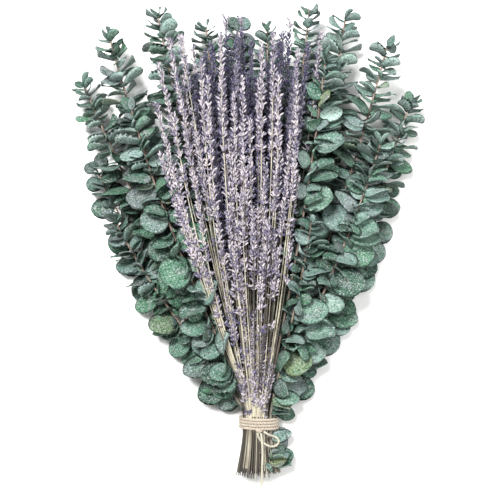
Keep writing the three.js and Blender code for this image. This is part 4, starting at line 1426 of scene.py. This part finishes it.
# The stage, in metres: what the picture shows across, its middle in the layout and at which height
SHOWN = 0.45
SHOWN_MIDDLE = (-8.1, 157.5, 0)
SHOWN_HEIGHT = 0.03
FLOOR_REACH = 2
FLOOR_GAP = 0.0003
# Name, place, size and share of the key light's power
LIGHTS = (("key_light", (-0.35, 0.5, 1.45), 0.4, 1), ("far_light", (0.8, 0.2, 1.3), 1.2, 0.45))


# Twigs and leaves, with lengths in millimetres
TWIG_SHARE = 0.86  # radius of a twig against that of its solid
NODE_SWELLS = 0.25  # how much thicker it is where leaves grow
NODE_REACH = 2
LOW_TWIG_RADIUS = 0.5
LINE_STEP = 2.5
NEAR_TIE = 75  # leaves of right_inner below this height are near the tie
OLIVE_SHARES = (0.02, 0.4)  # share of the leaves that have dried olive, elsewhere and near the tie
TWISTS = (0.1, 0.45)  # turn of a leaf about its midrib, in radians
EDGE_TWIST = 0.6  # how much more one turns that stands on edge
FOLDS = (-0.8, 2.2)  # how far leaves fold, against the setting
POINTS = (-0.04, 0.42)  # how far they run to a point
FREE_HEIGHT = 5  # one that lies lower than about this bends less, to stay over the surface
# Stalks and their heads, with lengths in millimetres
LONGER_HEADS = (1, 1.6)  # length of a head against that of its solid
STALK_RADII = (0.42, 0.58)
STALK_TIP_RADIUS = 0.2
WHORL_APART = (9, 30)  # one whorl stands apart this far below the head
WHORL_WITHIN = 2.5
WHORL_ABOVE = 20  # but only this far up from the tie


# The pieces


class BUNCH_OT_stage(Operator):
    """Sets the camera straight above, soft light and a plain pale floor."""

    bl_idname = "bunch.stage"
    bl_label = "Camera, light and floor"

    def execute(self, context):
        settings = context.scene.bunch_stage
        scene = context.scene
        scene.view_settings.view_transform = "Standard"
        camera = placed("camera", bpy.data.cameras.new("camera"))
        camera.data.lens = settings.lens
        camera.data.clip_end = 10
        away = settings.lens / camera.data.sensor_width * SHOWN
        camera.location = in_frame(SHOWN_MIDDLE) + Vector((0, 0, away + SHOWN_HEIGHT))
        scene.camera = camera

        corners = [(-FLOOR_REACH, -FLOOR_REACH), (FLOOR_REACH, -FLOOR_REACH)]
        corners += [(FLOOR_REACH, FLOOR_REACH), (-FLOOR_REACH, FLOOR_REACH)]
        floor = shape_object("floor", [(x, y, -FLOOR_GAP) for x, y in corners], [(0, 1, 2, 3)])
        # White paint with a low sheen, on which little but the shadows shows
        material, tree, _ = new_material("Painted board", 0.6)
        tree.nodes["Principled BSDF"].inputs["Base Color"].default_value = (*settings.floor, 1)
        floor.data.materials.append(material)
        floor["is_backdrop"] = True

        for name, place, size, share in LIGHTS:
            light = bpy.data.lights.new(name, "AREA")
            light.energy, light.size = settings.key * share, size
            lamp = placed(name, light)
            lamp.location = place
            lamp.rotation_euler = (-Vector(place)).to_track_quat("-Z", "Y").to_euler()
        world = bpy.data.worlds.new("soft room")
        world.use_nodes = True
        world.node_tree.nodes["Background"].inputs["Color"].default_value = (1, 1, 1, 1)
        world.node_tree.nodes["Background"].inputs["Strength"].default_value = settings.fill
        scene.world = world
        return {"FINISHED"}


class BUNCH_OT_twine(Operator):
    """Lays the free loop and tail, the turns of the tie, its knot and loose fibres."""

    bl_idname = "bunch.twine"
    bl_label = "Jute tie and bow"

    def execute(self, context):
        settings = context.scene.bunch_twine
        tree = twine_tree()
        bow = twine_material("Bleached jute", tuple(settings.bleached))
        tie = twine_material("Jute", tuple(settings.jute))
        values = {"Plies": settings.plies, "Lay": settings.lay * 0.8, "Thickness": BOW_TWINE * MM}
        made = []
        for name, route, far_end in (("loop", LOOP_ROUTE, "object"), ("tail", TAIL_ROUTE, "bare")):
            points = smooth_route(route, 0.6)
            source = line_mesh(name, [points])
            piece = plain_piece("bow_" + name, source, tree, {**values, "Twine material": bow})
            finished(piece, "jute_twine", "twine_" + name)
            path = [in_frame(point) for point in points]
            long = sum((end - start).length for start, end in zip(path, path[1:]))
            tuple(path[0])
            made.append(piece)
        for name, node, route, thickness in (
            ("tie_turns", "twine_wrap", tie_route(), TWINE - 0.06),
            ("tie_knot", "twine_knot", knot_route(), BOW_TWINE),
        ):
            values = {**values, "Lay": settings.lay, "Thickness": thickness * MM, "Twine material": tie}
            piece = plain_piece(name, line_mesh(name, [route]), tree, values)
            made.append(finished(piece, "jute_twine", node))
        self.add_fibres(settings, made, bow)
        return {"FINISHED"}

    def add_fibres(self, settings, made, material):
        """Stands loose fibres on all the twine."""
        rings = [(0, 1), (0.35, 0.8), (0.7, 0.6), (1, 0.2)]
        # Jute fibres are about 0.06 mm thick. They are drawn 0.16 mm thick, so that they show
        thin = 0.08 * MM
        fibre = turned_blank("fibre_blank", [(settings.hair * up, thin * out) for up, out in rings], 3)
        for vertex in fibre.data.vertices:
            vertex.co.x += 0.35 * settings.hair * (vertex.co.z / settings.hair) ** 2
        points, faces = [], []
        for piece in made:
            above = [face for face in piece.data.polygons if face.center.z > settings.hair]
            faces += [[len(points) + at for at in face.vertices] for face in above]
            points += [vertex.co.copy() for vertex in piece.data.vertices]
        surface = with_values("twine_surface", points, [], faces, {})
        values = {"Fibre": fibre, "Density": FIBRES_A_SQUARE_METRE, "Fibre material": material}
        finished(plain_piece("tie_fibres", surface, fibre_tree(), values), "jute_twine")
        bpy.data.objects.remove(fibre)


class BUNCH_OT_eucalyptus(Operator):
    """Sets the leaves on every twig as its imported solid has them, and more between them."""

    bl_idname = "bunch.eucalyptus"
    bl_label = "Eucalyptus sprays"

    def execute(self, context):
        settings = context.scene.bunch_eucalyptus
        values = {
            "Leaf": leaf_blank(settings),
            "Dents": settings.dents,
            "Fold": settings.fold,
            "Leaf material": leaf_material(settings),
            "Twig material": twig_material(settings),
        }
        tree = leafy_tree()
        stems = [leafy_stem(row) for row in LEAFY_STEMS]
        sprays = [list(leaves) for leaves in packed_leaves()]
        crowd = Crowd(enumerate(stems))
        for leaves in sprays:
            for leaf in leaves:
                crowd.add(leaf)
        grown = []
        # The highest sprays fill first, as they are the ones in sight
        for number in sorted(range(len(stems)), key=lambda number: -stems[number].tip[2]):
            row, stem, leaves = LEAFY_STEMS[number], stems[number], sprays[number]
            for place in leaf_places(number, row, stem, settings.fullness):
                leaf = free_leaf(*place, row[4], crowd, number)
                if leaf:
                    crowd.add(leaf)
                    leaves.append(leaf)
            grown.append((number, leaves))
        every = [leaf for _, leaves in grown for leaf in leaves]
        middles = np.array([leaf["root"] + leaf["reach"] * leaf["length"] / 2 for leaf in every])
        for number, leaves in grown:
            row = LEAFY_STEMS[number]
            source = self.spray(number, row, stems[number], leaves, middles)
            piece = plain_piece("spray_" + row[0], source, tree, values)
            finished(piece, "dried_leaf", "eucalyptus_" + row[0])
        bpy.data.objects.remove(values["Leaf"])
        return {"FINISHED"}

    def spray(self, number, row, stem, leaves, middles):
        """The line of a twig and a loose point for each leaf, with their values."""
        heights = stem.heights(LINE_STEP)
        edges = [(at, at + 1) for at in range(len(heights) - 1)]
        rows = []
        for y in heights:
            near = min((abs(y - leaf["y"]) for leaf in leaves), default=NODE_REACH)
            radius = (stem.radius(y) * TWIG_SHARE + NODE_SWELLS * max(0, 1 - near / NODE_REACH)) * MM
            rows.append({"at": stem.place(y), "radius": radius, "share": max(y, 0) / stem.tip[1]})
        if row[0] == "right_inner":
            twig = low_twig()
            low = [y for y in twig.heights(LINE_STEP) if y < LOW_TWIG_SHOWS]
            edges += [(len(rows) + at, len(rows) + at + 1) for at in range(len(low) - 1)]
            rows += [{"at": twig.place(y), "radius": LOW_TWIG_RADIUS * MM} for y in low]
        draw = draws(LEAF_LOOK_SEED + number).__next__
        rows += [self.look(draw, row, leaf, middles) for leaf in leaves]
        numbers = ("radius", "share", "long", "wide", "curled", "folded", "twisted", "pointed")
        numbers += ("tone", "vivid", "olive", "free", "grown", "cover_shade")
        values = {name: [item.get(name, 0.0) for item in rows] for name in numbers}
        values.update({name: [item.get(name, Vector()) for item in rows] for name in ("reach", "face")})
        return with_values("spray", [in_frame(item["at"]) for item in rows], edges, [], values)

    def look(self, draw, row, leaf, middles):
        """The values of a leaf: its size, how it is bent and what decides its colour."""
        tone = between(0, 0.95, draw()) + row[8] + 0.1 * (0.6 - leaf["grown"])
        near_tie = row[0] == "right_inner" and leaf["y"] < NEAR_TIE
        # A leaf that stands on edge is twisted until its face shows
        upright = leaf["reach"].cross(leaf["face"]).z * leaf["face"].z
        edge_on = 1 - abs(leaf["face"].z)
        twisted = math.copysign(between(*TWISTS, draw()) + EDGE_TWIST * edge_on, upright)
        # and one that is near the surface lies flat on it
        lowest = blade_of(leaf)[3][:, 2].min()
        free = 0.0 if leaf.get("pressed") else min(max(lowest / FREE_HEIGHT - 0.2, 0), 1)
        return {
            "at": leaf["root"],
            "long": leaf["length"] * MM,
            "wide": leaf["width"] * MM,
            "curled": leaf["curl"] * leaf["length"] * MM,
            "tone": min(max(tone, 0.02), 0.98),
            "vivid": draw(),
            "olive": float(draw() < OLIVE_SHARES[near_tie]) * between(0.4, 1, draw()),
            "folded": between(*FOLDS, draw()),
            "twisted": twisted * free,
            "pointed": between(*POINTS, draw() ** 2),
            "free": free,
            "grown": leaf["grown"],
            # How far it is covered, which paints shade on it
            "cover_shade": cover_shade(leaf, middles),
            "reach": leaf["reach"],
            "face": leaf["face"],
        }


class BUNCH_OT_lavender(Operator):
    """Grows the stalks of the sheaf and sets the buds round their heads."""

    bl_idname = "bunch.lavender"
    bl_label = "Lavender stalks and spikes"

    def execute(self, context):
        settings = context.scene.bunch_lavender
        values = {
            "Bud": bud_blank(settings),
            "Floret": floret_blank(settings),
            "Whorl spacing": settings.whorl_step,
            "Buds in a ring": settings.buds,
            "Bud length": settings.bud_length,
            "Stalk material": stalk_material(settings),
            "Bud material": bud_material(settings),
            "Floret material": floret_material(),
        }
        tree = lavender_tree()
        batches = []
        for node, row, stalks in packed_stalks():
            batches.append(("lavender_spikes_" + node[-2:], (node,), row, stalks))
        for group, stalks in enumerate(more_stalks()):
            batches.append((f"lavender_between_{group + 1}", (), group + 0.5, stalks))
        for number, (name, nodes, row, stalks) in enumerate(batches):
            values["Seed"] = number + 1
            source = self.lines(draws(STALK_LOOK_SEED + number).__next__, row, stalks)
            finished(plain_piece(name, source, tree, values), "dried_flower", *nodes)
        for name in ("Bud", "Floret"):
            bpy.data.objects.remove(values[name])
        return {"FINISHED"}

    def lines(self, draw, row, stalks):
        """The lines of some stalks, with how thick, how dark from painted shade and at random, and how far up
        the head each point is.
        """
        lines, radii, heads, shades, suns = [], [], [], [], []
        for stalk, head in stalks:
            head *= between(*LONGER_HEADS, draw())
            start = stalk.tip[1] - head
            heights = stalk.heights(4)
            lines.append([stalk.place(y) for y in heights])
            thick = between(*STALK_RADII, draw())
            apart = start - between(*WHORL_APART, draw())
            # Each stalk is darker at random, and the lower rows get painted shade
            shade = min(max(draw() * 1.1 - 0.1 + 0.12 * (2 - row), 0), 1)
            for y in heights:
                share = (y - start) / head
                sun = sunlit(stalk.place(y))
                radii.append((thick if share < 0 else between(thick * 0.9, STALK_TIP_RADIUS, share)) * MM)
                if share < 0:
                    share = 0.0 if abs(y - apart) < WHORL_WITHIN and apart > WHORL_ABOVE else -1.0
                heads.append(share)
                # Deep inside the sheaf the stalk gets painted shade, and it is darker below the tie
                shades.append(between(1, shade, sun * (0.55 if y < 0 else 1)))
                suns.append(sun)
        return line_mesh("stalks", lines, radius=radii, head=heads, shade=shades, sun=suns)


class BUNCH_PT_panel(Panel):
    bl_idname = "BUNCH_PT_panel"
    bl_label = "Dried bunch"
    bl_space_type = "VIEW_3D"
    bl_region_type = "UI"
    bl_category = "Bunch"

    def draw(self, context):
        for operator, group in MAKERS:
            box = self.layout.box()
            box.operator(operator.bl_idname)
            settings = getattr(context.scene, group)
            for name in settings.bl_rna.properties.keys():
                if name not in ("rna_type", "name"):
                    box.prop(settings, name)


MAKERS = (
    (BUNCH_OT_stage, "bunch_stage"),
    (BUNCH_OT_twine, "bunch_twine"),
    (BUNCH_OT_lavender, "bunch_lavender"),
    (BUNCH_OT_eucalyptus, "bunch_eucalyptus"),
)
GROUPS = {
    "bunch_stage": StageSettings,
    "bunch_twine": TwineSettings,
    "bunch_eucalyptus": EucalyptusSettings,
    "bunch_lavender": LavenderSettings,
}
CLASSES = (*GROUPS.values(), *(operator for operator, _ in MAKERS), BUNCH_PT_panel)


def register():
    for item in CLASSES:
        bpy.utils.register_class(item)
    for name, group in GROUPS.items():
        setattr(bpy.types.Scene, name, PointerProperty(type=group))


def unregister():
    for name in GROUPS:
        delattr(bpy.types.Scene, name)
    for item in reversed(CLASSES):
        bpy.utils.unregister_class(item)


def main():
    register()
    bpy.ops.bunch.stage()
    bpy.ops.bunch.twine()
    bpy.ops.bunch.lavender()
    bpy.ops.bunch.eucalyptus()
    boxes = {"cad": cad_box, "scene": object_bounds()}
    {name: [list(corner) for corner in box] for name, box in boxes.items()}


if __name__ == "__main__":
    main()
